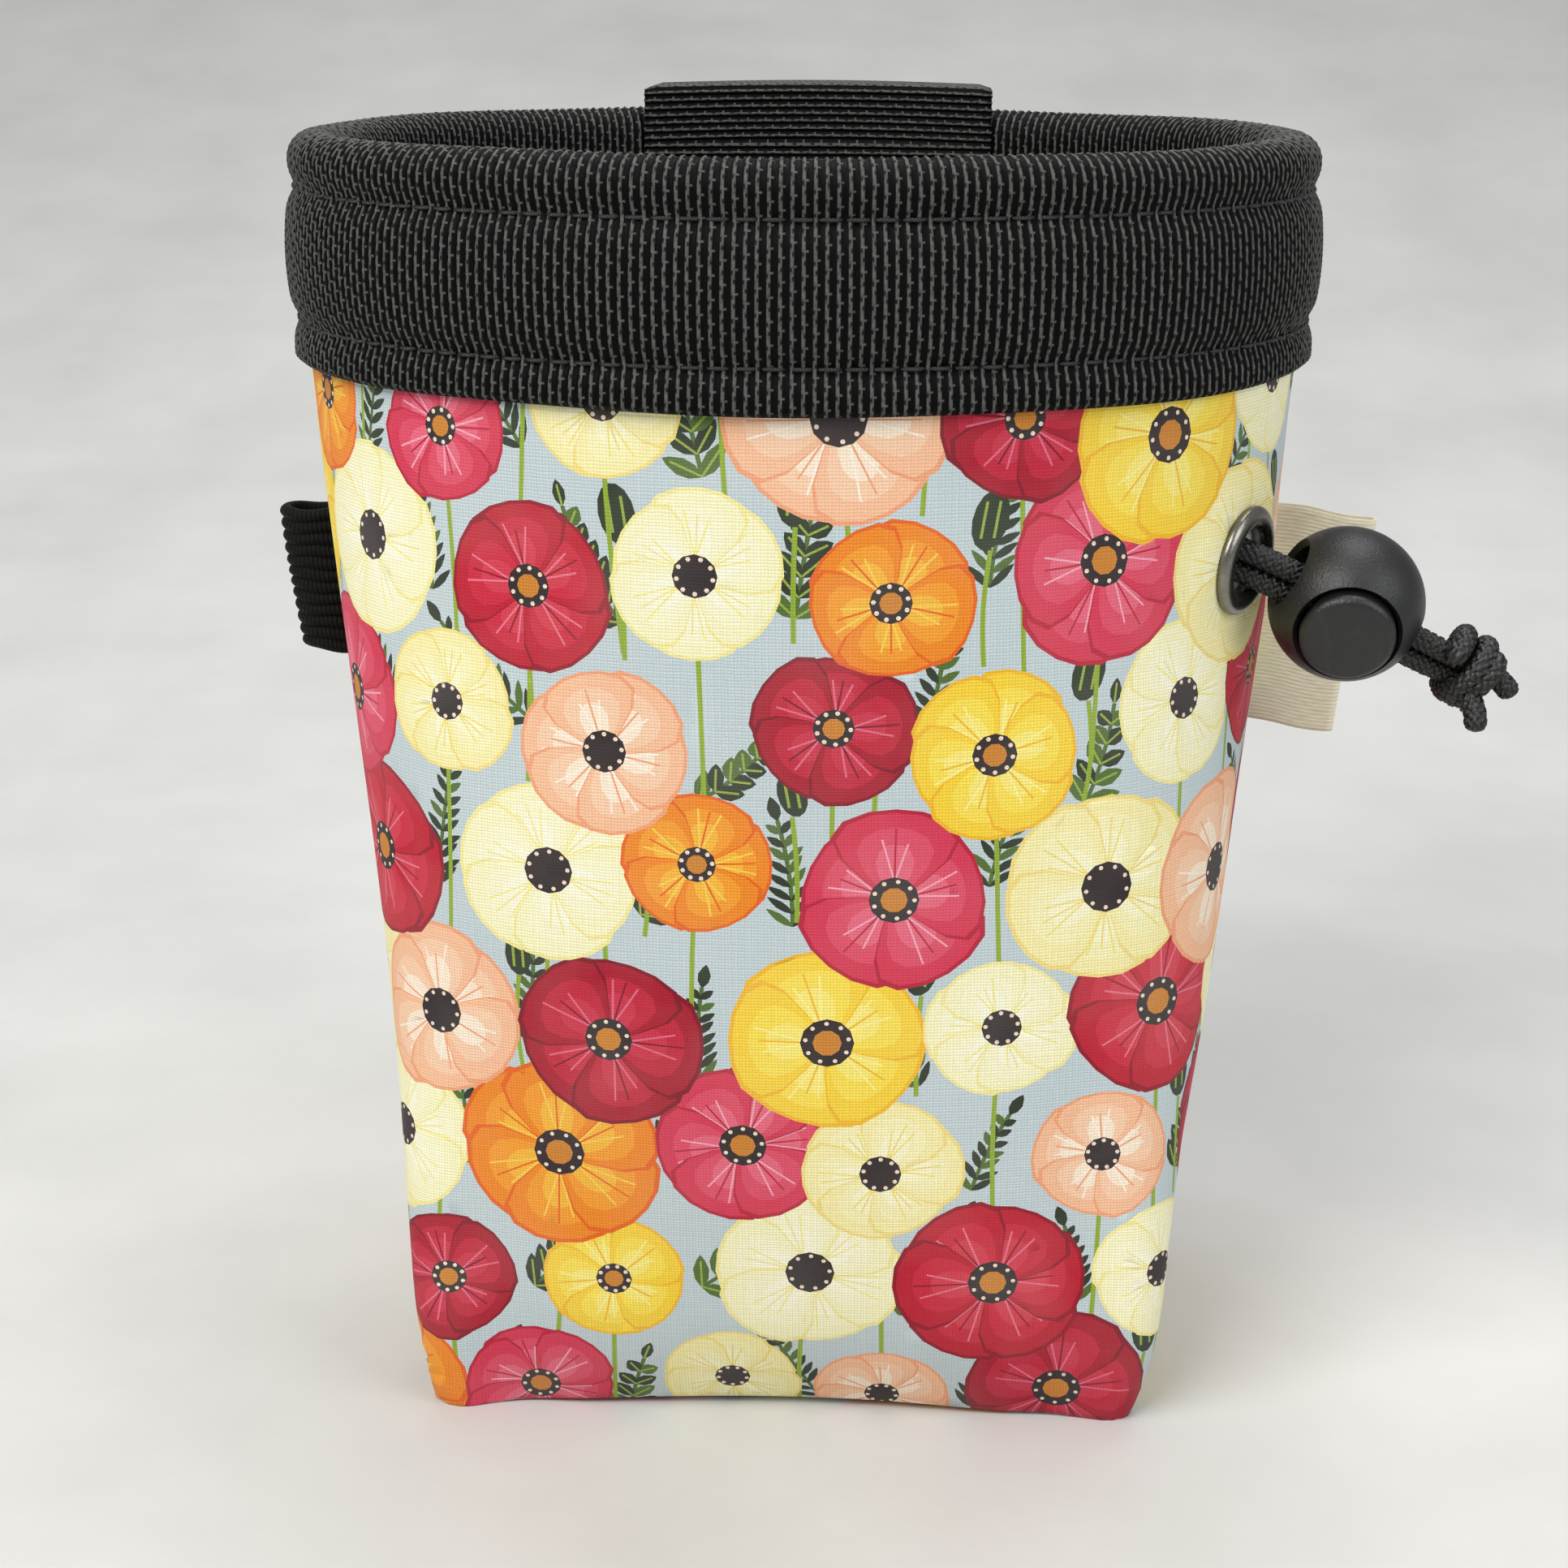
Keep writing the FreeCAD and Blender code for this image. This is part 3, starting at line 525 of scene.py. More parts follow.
def round_place(share, z, offset=0.0):
    """Points all the way round: share 0 is the left seam, 0.5 the right seam, front first."""
    share = np.asarray(share, float) % 1.0
    on_front = share < 0.5
    panel = np.where(on_front, share * 4 - 1, 3 - share * 4)
    front = OUTLINE.place(panel, z, FRONT, offset)
    back = OUTLINE.place(panel, z, BACK, offset)
    return np.where(on_front[..., None], front, back)


def slack(share, z, side):
    """How far the sewn walls stand out from the CAD walls: soft and never quite regular."""
    far = np.abs(share)
    sewn = 1 - far**4
    wander = 0.5 * sewn * np.sin(4.6 * share + 0.034 * z + 1.3 * side)
    wander = wander * np.sin(0.047 * z + 2.0 * share + 0.6)
    flank = -1.0 * hump(far, 0.47, 0.08) * (1 - ease(z, 15, 100))
    corner = np.where(share < 0, 1.4, -1.6) * hump(far, 0.68, 0.14) * np.exp(-z / 13)
    edge = corner + 0.5 * hump(far, 0.62, 0.05) * (1 - ease(z, 20, 90))
    bulge = 1.0 * ease(share, 0.55, 0.95) * ease(z, 15, 60) * (1 - ease(z, 105, 135))
    seam = -0.45 * hump((1 - far) * 90, 0.0, 1.6)
    middle = np.clip(1 - (share / 0.55) ** 2, 0, 1)
    set_back = -3.0 * middle * np.exp(-z / 11)
    fade = 1 - ease(z, 126, 137)
    return (wander + flank + edge + bulge + seam) * fade + set_back


def lifted(share, z):
    """The base's long edges stand a little off the table between the corners."""
    middle = np.clip(1 - (share / 0.55) ** 2, 0, 1)
    return z + 1.3 * middle * np.clip(1 - z / 16, 0, 1)


def eyelet_frame():
    """Two axes across the eyelet and its outward normal."""
    flat = math.cos(math.radians(EYELET_DROP))
    azimuth = math.radians(EYELET_AZIMUTH)
    fall = math.sin(math.radians(EYELET_DROP))
    normal = Vector((flat * math.cos(azimuth), flat * math.sin(azimuth), fall))
    side = Vector((0, 0, 1)).cross(normal).normalized()
    return side, normal.cross(side), normal


EYELET_SIDE, EYELET_UP, EYELET_NORMAL = eyelet_frame()


def drawn_to_eyelet(points, offset):
    """Pull the cloth flat under the eyelet's flange."""
    from_eyelet = points - np.array(EYELET_CENTRE)
    height = from_eyelet @ np.array(EYELET_NORMAL)
    radius = np.sqrt(np.maximum((from_eyelet**2).sum(-1) - height**2, 0))
    pull = (1 - ease(radius, 6.0, 13.0)) * (height > -20)
    change = (offset - 0.05 - height) * pull
    return points + change[..., None] * np.array(EYELET_NORMAL)


def wall(share, z, side, offset):
    """Points of a wall layer, with the sewn bag's slack."""
    points = OUTLINE.place(share, z, side, offset + slack(share, z, side))
    points[..., 2] = lifted(share, z)
    return drawn_to_eyelet(points, offset) if side == FRONT else points


# ---- the print ----
GROUND = ink(196, 209, 212)
GROUND_BACK = ink(222, 226, 224)
STEM, DARK_LEAF, MID_LEAF, VEIN = ink(146, 172, 52), ink(49, 58, 42), ink(86, 112, 52), ink(150, 172, 72)
CENTRE_DARK, CENTRE_GOLD, PALE_DOT = ink(52, 42, 44), ink(206, 132, 48), ink(246, 222, 200)


def tones(*levels):
    return tuple(ink(*level) for level in levels)


# Each flower's colours: its petals' inner field, body, rim and heart, and their veins.
BLOOMS = {
    "red": tones((206, 42, 66), (192, 30, 52), (150, 20, 42), (214, 62, 80), (232, 120, 142)),
    "pink": tones((224, 78, 104), (216, 58, 86), (186, 36, 62), (232, 104, 128), (244, 166, 182)),
    "wine": tones((196, 36, 62), (172, 24, 48), (134, 16, 38), (206, 52, 76), (228, 110, 136)),
    "cream": tones((251, 247, 208), (250, 245, 198), (246, 234, 158), (253, 250, 222), (248, 238, 150)),
    "butter": tones((250, 242, 186), (249, 238, 172), (244, 222, 134), (252, 247, 206), (246, 228, 124)),
    "peach": tones((250, 206, 172), (248, 192, 154), (242, 166, 124), (253, 232, 208), (254, 242, 224)),
    "yellow": tones((252, 224, 84), (250, 212, 62), (244, 188, 46), (253, 234, 120), (254, 242, 150)),
    "orange": tones((246, 158, 44), (240, 138, 34), (232, 104, 28), (248, 184, 58), (250, 208, 84)),
}
DARK_HEARTED = ("cream", "butter", "peach")  # the flowers with no gold disc in their middle
COLOUR_ORDER = ["red", "cream", "orange", "pink", "butter", "peach", "wine", "yellow", "cream"]
SPRIG_FORMS = ("fern", "broad", "fern")
# Half outlines as (share of the length, share of the half width), from the root towards the tip.
LEAF_EDGE = ((0, 0.15), (0.25, 0.85), (0.55, 1.0), (0.85, 0.5))
PETAL_EDGE = ((0.0, 0.06), (0.2, 0.45), (0.45, 0.85), (0.68, 1.0), (0.86, 0.82), (0.97, 0.42))
FLOWER_SIZES = (18, 26)
GRID_ACROSS, GRID_UP = 23.0, 19.0  # between the flowers


def inside(points, shape):
    """The numbers of the points, which are in order of x, that lie inside a closed shape."""
    corners = np.array(shape)
    low, high = corners.min(axis=0), corners.max(axis=0)
    first, last = np.searchsorted(points[:, 0], (low[0], high[0]))
    level = points[first:last, 1]
    near = first + np.nonzero((level > low[1]) & (level < high[1]))[0]
    x, y = points[near].T
    crossed = np.zeros(len(near), bool)
    for (x0, y0), (x1, y1) in zip(corners, np.roll(corners, -1, axis=0)):
        if y0 != y1:
            crossed ^= ((y0 > y) != (y1 > y)) & (x < (x1 - x0) * (y - y0) / (y1 - y0) + x0)
    return near[crossed]


def inside_mask(points, shape):
    """True for each point that lies inside a closed shape."""
    mask = np.zeros(len(points), bool)
    mask[inside(points, shape)] = True
    return mask


class Artwork:
    """Flat shapes painted one over another, in millimetres on the cloth."""

    def __init__(self, seed):
        self.random = random.Random(seed)
        self.shapes = []
        self.inks = []

    def paint(self, points, colour):
        self.shapes.append([(float(x), float(y)) for x, y in points])
        self.inks.append(colour)

    def line(self, start, end, width, colour):
        """A straight line with square ends."""
        dx, dy = end[0] - start[0], end[1] - start[1]
        length = math.hypot(dx, dy) or 1.0
        nx, ny = -dy / length * width / 2, dx / length * width / 2
        corners = [(start[0] + nx, start[1] + ny), (start[0] - nx, start[1] - ny)]
        corners += [(end[0] - nx, end[1] - ny), (end[0] + nx, end[1] + ny)]
        self.paint(corners, colour)

    def disc(self, x, y, radius, colour, corners=8):
        steps = [math.tau * k / corners for k in range(corners)]
        self.paint([(x + radius * math.cos(a), y + radius * math.sin(a)) for a in steps], colour)

    def stem(self, x, y, length, lean):
        """A thin stem that hangs down from a bloom in a slight curve."""
        bow = self.random.uniform(-0.8, 0.8)
        places = []
        for k in range(7):
            t = k / 6
            places.append((x + lean * t + bow * math.sin(math.pi * t), y - length * t))
        for start, end in zip(places, places[1:]):
            self.line(start, end, 0.6, STEM)

    def bud(self, x, y, size):
        """A plain oval bud on its stem, with two pale veins."""
        lean = self.random.uniform(-0.25, 0.25)
        self.stem(x, y - size, 14, 3 * lean)
        oval = []
        for k in range(14):
            angle = math.tau * k / 14
            px, py = 0.62 * size * math.cos(angle), size * math.sin(angle)
            oval.append((x + px - lean * py, y + py))
        self.paint(oval, DARK_LEAF)
        for shift in (-0.22, 0.22):
            top = (x + (shift - 0.6 * lean) * size, y + 0.6 * size)
            foot = (x + (shift + 0.6 * lean) * size, y - 0.6 * size)
            self.line(foot, top, 0.35, VEIN)

    def blade(self, root, heading, length, width, edge, colour):
        """A petal or leaf that grows from its root, the same on both sides."""
        across, up = math.cos(heading), math.sin(heading)
        points = []
        for t, w in [*edge, (1.0, 0.0), *((t, -w) for t, w in reversed(edge))]:
            ahead, side = length * t, w * width / 2
            points.append((root[0] + ahead * across - side * up, root[1] + ahead * up + side * across))
        self.paint(points, colour)

    def leaf(self, root, angle, length, width, colour, vein):
        """One pointed leaf, with a pale vein if it is broad."""
        self.blade(root, angle, length, width, LEAF_EDGE, colour)
        if vein:
            tip = (root[0] + 0.8 * length * math.cos(angle), root[1] + 0.8 * length * math.sin(angle))
            self.line(root, tip, 0.28, VEIN)

    def sprig(self, x, y, length, heading, form):
        """A curved spine with pairs of leaves."""
        bend = self.random.uniform(-0.35, 0.35)
        broad = form != "fern"
        pairs = {"broad": 5, "fern": 8}[form]
        pairs = max(3, round(pairs * length / 16))
        place, angle = (x, y), math.radians(heading) - bend / 2
        step = length / (pairs + 1)
        for k in range(pairs + 1):
            following = (place[0] + step * math.cos(angle), place[1] + step * math.sin(angle))
            self.line(place, following, 0.55, MID_LEAF)
            size = (1.0 - 0.45 * k / pairs) * (5.0 if broad else 4.0) * min(1.0, length / 14)
            for side in (-1, 1):
                spread = angle + side * math.radians(48 + self.random.uniform(-8, 8))
                tone = DARK_LEAF if self.random.random() < 0.7 else MID_LEAF
                self.leaf(place, spread, size, 2.1 if broad else 1.05, tone, broad)
            place, angle = following, angle + bend / pairs
        self.leaf(place, angle, 3.2, 1.6, DARK_LEAF, broad)

    def bloom(self, x, y, size, colour):
        """A flower with five or six round petals, veined, and a dark middle ringed with pale dots."""
        field, body, rim, heart, vein = BLOOMS[colour]
        rnd = self.random
        petals = rnd.choice((5, 6, 6))
        turn = rnd.uniform(0, math.tau)
        width = size * (0.66 if petals == 5 else 0.58)
        layers = ((1.0, 1.0, rim), (0.96, 0.92, body), (0.8, 0.6, field), (0.62, 0.3, heart))
        for k in range(petals):
            heading = turn + math.tau * k / petals + rnd.uniform(-0.06, 0.06)
            length = size / 2 * rnd.uniform(0.92, 1.06)
            for reach, spread, tone in layers:
                self.blade((x, y), heading, length * reach, width * spread, PETAL_EDGE, tone)
            for lean in (-0.2, 0.0, 0.2):
                reach = length * rnd.uniform(0.62, 0.8)
                start = (x + 0.2 * length * math.cos(heading), y + 0.2 * length * math.sin(heading))
                tip = (x + reach * math.cos(heading + lean), y + reach * math.sin(heading + lean))
                self.line(start, tip, 0.24, vein if lean else rim)
        self.disc(x, y, 0.13 * size, CENTRE_DARK, 12)
        self.disc(x, y, 0.07 * size, CENTRE_DARK if colour in DARK_HEARTED else CENTRE_GOLD, 10)
        for k in range(9):
            angle, out = turn + math.tau * k / 9, 0.105 * size
            self.disc(x + out * math.cos(angle), y + out * math.sin(angle), 0.3, PALE_DOT, 6)

    def scattered(self, width, low, high):
        """Blooms in a loose staggered grid, with stems, leaves and buds between them."""
        rnd = self.random
        across, up = GRID_ACROSS, GRID_UP
        cells = []
        for row in range(round((high - low) / up) + 1):
            for column in range(int(width / across) + 2):
                x = -width / 2 + (column + 0.5 * (row % 2)) * across + rnd.uniform(-3, 3)
                colour = COLOUR_ORDER[(column + 4 * row) % len(COLOUR_ORDER)]
                cells.append((x, low + row * up + rnd.uniform(-3, 3), colour))
        for x, y, _ in cells:
            self.stem(x, y, rnd.uniform(24, 44), rnd.uniform(-2, 2))
            heading = rnd.uniform(40, 140)
            foot = y + rnd.uniform(-9, 2)
            length, form = rnd.uniform(11, 19), rnd.choice(SPRIG_FORMS)
            self.sprig(x + across / 2, foot, length, heading, form)
            if rnd.random() < 0.35:
                self.bud(x + across / 2, y + up / 2, rnd.uniform(2.8, 3.8))
        for x, y, colour in cells:
            self.bloom(x, y, rnd.uniform(*FLOWER_SIZES), colour)

    def cut_out(self, border, spacing, holes=()):
        """Triangles that fill the border, each with the ink of the topmost shape over it."""
        flat, faces = triangles([border, *self.shapes, *holes], grid_inside(border, spacing))
        order = np.argsort(flat[faces].mean(axis=1)[:, 0])
        faces = faces[order]
        centres = flat[faces].mean(axis=1)
        painted = np.zeros(len(faces), int)
        for k, shape in enumerate(self.shapes):
            painted[inside(centres, shape)] = k + 1
        kept = inside_mask(centres, border)
        for hole in holes:
            kept &= ~inside_mask(centres, hole)
        inks = np.array([GROUND, *self.inks])
        return flat, faces[kept], inks[painted[kept]]


def grid_inside(border, spacing):
    """Free points in a staggered grid over a border's box."""
    low, high = np.min(border, axis=0), np.max(border, axis=0)
    points = []
    for row in range(int((high[1] - low[1]) / spacing)):
        for column in range(int((high[0] - low[0]) / spacing)):
            x = low[0] + (column + 0.25 + 0.5 * (row % 2)) * spacing
            points.append((x, low[1] + (row + 0.5) * spacing))
    return points


def triangles(shapes, loose):
    """Triangles whose edges keep to the shapes' outlines. Returns the places and the triangles."""
    points, edges = [], []
    for shape in shapes:
        first, count = len(points), len(shape)
        edges += [(first + k, first + (k + 1) % count) for k in range(count)]
        points += shape
    points = [Vector(p) for p in [*points, *loose]]
    flat, _, faces, _, _, _ = delaunay_2d_cdt(points, edges, [], 0, 1e-4)
    return np.array([tuple(p) for p in flat]), np.array(faces)


def rim_edges(faces):
    """The edges that only one triangle has, in that triangle's direction."""
    edges = np.concatenate([faces[:, [0, 1]], faces[:, [1, 2]], faces[:, [2, 0]]])
    _, first, uses = np.unique(np.sort(edges, axis=1), axis=0, return_index=True, return_counts=True)
    return edges[first[uses == 1]]


def plain_side(flat, rim, spacing, border, holes):
    """Coarser triangles with the same rim: loose places and triangles that number the rim first."""
    ends = np.unique(rim)
    renumber = {v: k for k, v in enumerate(ends.tolist())}
    edges = [(renumber[a], renumber[b]) for a, b in rim.tolist()]
    points = [Vector(p) for p in [*flat[ends].tolist(), *grid_inside(border, spacing)]]
    made, _, faces, sources, _, _ = delaunay_2d_cdt(points, edges, [], 0, 1e-6)
    number = np.array([min(source) for source in sources])
    faces = np.array(faces)
    centres = np.array([tuple(p) for p in made])[faces].mean(axis=1)
    order = np.argsort(centres[:, 0])
    kept = inside_mask(centres[order], border)
    for hole in holes:
        kept &= ~inside_mask(centres[order], hole)
    return ends, np.array([tuple(p) for p in points]), number[faces[order][kept]]


def cloth_piece(name, art, border, holes, spacing, outer_at, inner_at):
    """A closed printed sheet. outer_at and inner_at bend flat places to the cloth's two sides."""
    flat, faces, colours = art.cut_out(border, spacing, holes)
    used, faces = np.unique(faces, return_inverse=True)
    flat, faces = flat[used], faces.reshape(-1, 3)
    rim = rim_edges(faces)
    ends, plain, back_faces = plain_side(flat, rim, 5.0, border, holes)
    count = len(flat)
    across = {v: k + count for k, v in enumerate(ends.tolist())}
    all_faces = faces.tolist() + (back_faces[:, ::-1] + count).tolist()
    all_faces += [(b, a, across[a], across[b]) for a, b in rim.tolist()]
    tones = np.tile(GROUND_BACK, (len(all_faces), 1))
    tones[: len(faces)] = colours
    piece = mesh_piece(name, np.concatenate([outer_at(flat), inner_at(plain)]), all_faces, COTTON)
    attribute = piece.data.attributes.new("ink", "FLOAT_COLOR", "FACE")
    attribute.data.foreach_set("color", tones.astype(np.float32).ravel())
    point_attribute(piece, "cloth", np.concatenate([flat, plain]))
    return piece


# ---- the walls ----
SHELL_THICKNESS = 0.45
SHELL_TOP = 157.0
SHELL_HOLE = 5.0
LAYER_TOP = 158


def seam_border(low, high):
    """The flat outline of a panel, from seam to seam."""
    heights = np.linspace(low, high, 40)
    right = [(float(OUTLINE.quarter(z)), float(z)) for z in heights]
    bottom = [(float(x), low) for x in np.linspace(-right[0][0], right[0][0], 90)[1:-1]]
    top = [(float(x), high) for x in np.linspace(right[-1][0], -right[-1][0], 60)[1:-1]]
    left = [(-x, z) for x, z in reversed(right)]
    return bottom + right + top + left


def eyelet_cut():
    """The eyelet's hole, on the flat front panel."""
    shares = np.linspace(0.3, 0.9, 400)
    found = OUTLINE.place(shares, EYELET_CENTRE.z, FRONT)
    best = shares[np.argmin(((found - np.array(EYELET_CENTRE)) ** 2).sum(-1))]
    x = best * OUTLINE.quarter(EYELET_CENTRE.z)
    steps = [math.tau * k / 40 for k in range(40)]
    return [(x + SHELL_HOLE * math.cos(a), EYELET_CENTRE.z + SHELL_HOLE * math.sin(a)) for a in steps]


def make_shell(name, side, art, holes, *nodes):
    """A printed panel."""

    def bent(offset):
        return lambda flat: wall(flat[:, 0] / OUTLINE.quarter(flat[:, 1]), flat[:, 1], side, offset)

    border = seam_border(0.0, SHELL_TOP)
    piece = cloth_piece(name, art, border, holes, 2.2, bent(0.0), bent(-SHELL_THICKNESS))
    return dress(piece, "pouch", "printed_cotton", *nodes)


def make_sole(name, side, seed):
    """Half of the boxed base, from the long edge to the middle."""
    art = Artwork(seed)
    art.scattered(100, -4, 38)
    shares = np.linspace(-1, 1, 121)
    rim = wall(shares, np.zeros(121), side, 0.0)
    border = [(float(x), float(abs(y))) for x, y, _ in rim]

    def bent(thick):
        def place(flat):
            depth = np.interp(flat[:, 0], rim[:, 0], np.abs(rim[:, 1]))
            height = np.interp(flat[:, 0], rim[:, 0], rim[:, 2])
            rise = height * np.clip(flat[:, 1] / np.maximum(depth, 1.0), 0, 1) ** 3
            return np.column_stack([flat[:, 0], side * flat[:, 1], rise + thick])

        return place

    piece = cloth_piece(name, art, border, [], 3.0, bent(0.0), bent(SHELL_THICKNESS))
    return dress(piece, "pouch", "printed_cotton")


def make_layer(name, side, offsets, top, material, slot, wrinkle, *nodes):
    """A plain layer inside the shell: half of the base and the wall above it."""
    shares = np.linspace(-1, 1, 141)
    heights = np.linspace(0, top, 64)

    def surface(offset):
        level = np.maximum(heights, -offset)
        rows = [wall(shares, np.full(shares.shape, z), side, offset) for z in level]
        ripple = wrinkle * np.sin(shares * 17 + 2 * side) * np.sin(np.linspace(0, 9, 64))[:, None]
        grid = np.array(rows)
        grid[:, :, 1] -= side * np.abs(ripple) * 0.5
        foot = grid[0].copy()
        floor_rows = []
        for share in np.linspace(0, 1, 12)[:-1]:
            row = foot.copy()
            row[:, 1] *= share
            row[:, 2] = mixed(-offset, foot[:, 2], share**3)
            floor_rows.append(row)
        return np.concatenate([np.array(floor_rows), grid])

    outer, inner = surface(offsets[1]), surface(offsets[0])
    piece = slab(name, outer, inner, material)
    return dress(piece, "pouch", slot, *nodes)


def make_walls():
    """The shell, interlining and lining."""
    front = Artwork(11)
    front.scattered(200, 3, 146)
    make_shell("shell_front_cloth", FRONT, front, [eyelet_cut()], "shell_front_panel")
    back = Artwork(23)
    back.scattered(200, 3, 146)
    make_shell("shell_back_cloth", BACK, back, [], "shell_back_panel")
    make_sole("shell_sole_front", FRONT, 31)
    make_sole("shell_sole_back", BACK, 37)
    for side, word in ((FRONT, "front"), (BACK, "back")):
        for slot, stuff, offsets, material, wrinkle in (
            ("interlining", "fleece", (-1.6, -0.6), FLEECE, 0.0),
            ("lining", "cloth", (-2.1, -1.7), LINING, 0.25),
        ):
            node = f"{slot}_{word}"
            make_layer(f"{node}_{stuff}", side, offsets, LAYER_TOP, material, slot, wrinkle, node)


# ---- the mouth ----
BAND_RIBS = 312
BAND_TOP = 165.0
BAND_BOTTOM = 137.5
BAND_INNER_BOTTOM = 141.5
UPPER_ROW = BAND_TOP - 6.5
LOWER_ROW = BAND_BOTTOM + 5.0
FOLD_RADIUS = 3.3
RIB_DEPTH = 0.34
WEAVE_PITCH = 1.24  # one rib in the webbing material


def band_bulge(z):
    """The band is drawn in by its two rows of stitches and swells between them."""
    pulled = -0.75 * (hump(z, UPPER_ROW, 1.5) + hump(z, LOWER_ROW, 1.5))
    swell = 0.7 * np.clip(np.sin(math.pi * (z - LOWER_ROW) / (UPPER_ROW - LOWER_ROW)), 0, 1)
    return pulled + np.where((z > LOWER_ROW) & (z < UPPER_ROW), swell, 0.0)


def band_profile():
    """Offset, height and rib depth down the outside, over the fold and down the inside."""
    rows = [(0.2, BAND_BOTTOM + 0.1, 0.0), (1.1, BAND_BOTTOM - 0.1, 0.5)]
    for z in np.arange(BAND_BOTTOM + 0.5, BAND_TOP - FOLD_RADIUS, 0.65):
        rows.append((1.7 + float(band_bulge(z)), float(z), 1.0))
    for angle in np.radians(np.arange(10, 175, 15)):
        height = BAND_TOP - FOLD_RADIUS + FOLD_RADIUS * math.sin(angle)
        rows.append((-1.6 + FOLD_RADIUS * math.cos(angle), height, 1.0))
    for z in np.arange(BAND_TOP - FOLD_RADIUS, BAND_INNER_BOTTOM, -1.3):
        rows.append((-4.9, float(z), 1.0))
    rows += [(-4.3, BAND_INNER_BOTTOM - 0.1, 0.4), (-3.4, BAND_INNER_BOTTOM, 0.0), (-3.3, 160.0, 0.0)]
    rows += [(-1.6, 161.8, 0.0), (0.0, 160.0, 0.0)]
    return np.array(rows)


def make_rim_webbing():
    """The folded band: ribs, stitch valleys and a rolled fold."""
    profile = band_profile()
    per_rib = 4
    columns = BAND_RIBS * per_rib
    share = np.arange(columns) / columns + 0.75
    rib = np.arange(columns) // per_rib
    height = np.array([1.0, 0.3, 0.0, 0.3])[np.arange(columns) % per_rib]
    length = run_length(profile[:, :2])
    perimeter = 4 * float(OUTLINE.quarter(150)) + math.tau * 1.7
    around = np.arange(columns) / columns * perimeter
    rib_place = np.arange(columns) / per_rib * WEAVE_PITCH
    grid, cloth = [], []
    for row, (offset, z, depth) in enumerate(profile):
        stagger = np.where((rib + row) % 2 == 0, 1.0, 0.72)
        out = offset + 0.12 * np.sin(around / 9.0) * (depth > 0)
        ridge = RIB_DEPTH * depth * (height * stagger - 0.35)
        top_edge = 0.3 * np.sin(around / 21 + 1.0) + 0.2 * np.sin(around / 8.3)
        points = round_place(share, np.full(columns, z), out)
        ahead = round_place(share, np.full(columns, z), out + 1.0) - points
        lean = np.array([1.0, 0.0])
        if BAND_TOP - FOLD_RADIUS < z:
            lean = np.array([(offset + 1.6), z - (BAND_TOP - FOLD_RADIUS)]) / FOLD_RADIUS
        elif offset < -4.0:
            lean = np.array([-1.0, 0.0])
        points = points + ahead * (ridge * lean[0])[:, None]
        points[:, 2] += ridge * lean[1] + top_edge * 0.5
        grid.append(points)
        cloth.append(np.column_stack([rib_place, np.full(columns, length[row])]))
    points = np.array(grid)
    faces = grid_faces(len(profile), columns, 0, True, True)
    piece = mesh_piece("rim_webbing_band", points.reshape(-1, 3), faces, WEBBING)
    point_attribute(piece, "cloth", np.concatenate(cloth))
    dress(piece, "pouch", "webbing", "rim_webbing")


def stitch_mesh(places, length, thickness):
    """Short twisted threads that dip into the cloth at both ends."""
    rings, around = 7, 6
    points, faces = [], []
    for centre, along, out in places:
        across = np.cross(out, along)
        first = len(points)
        for r in range(rings):
            t = r / (rings - 1) * 2 - 1
            middle = centre + along * (length / 2 * t) + out * (0.18 - 0.42 * t * t)
            radius = thickness / 2 * (1.0 if abs(t) < 0.9 else 0.6)
            for k in range(around):
                angle = math.tau * k / around
                points.append(middle + radius * (across * math.cos(angle) + out * math.sin(angle)))
        faces += tube_faces(rings, around, first)
    return points, faces


def make_rim_stitches():
    """Both rows of stitches, and the same rows where they show inside the mouth."""
    for word, z in (("upper", UPPER_ROW), ("lower", LOWER_ROW)):
        places = []
        count = 127
        for offset, turn in ((1.7 + float(band_bulge(z)) + 0.12, 1.0), (-5.05, -1.0)):
            shares = (np.arange(count) + 0.5) / count
            points = round_place(shares, np.full(count, z), offset)
            ahead = round_place(shares + 0.001, np.full(count, z), offset) - points
            for point, step in zip(points, ahead):
                along = step / np.linalg.norm(step)
                out = np.cross(along, (0, 0, 1.0)) * turn
                places.append((point, along, out))
        points, faces = stitch_mesh(places, 2.7, 0.5)
        piece = mesh_piece(f"rim_stitches_{word}", points, faces, THREAD)
        dress(piece, "pouch", "thread", f"rim_stitch_{word}")


# ---- the collar and casing inside the mouth ----
CASING_SIDES = 18
CASING_OFFSET = -6.2
CASING_HALF_WIDTH = 3.9
CASING_Z = 117.0
CASING_HALF_HEIGHT = 4.4


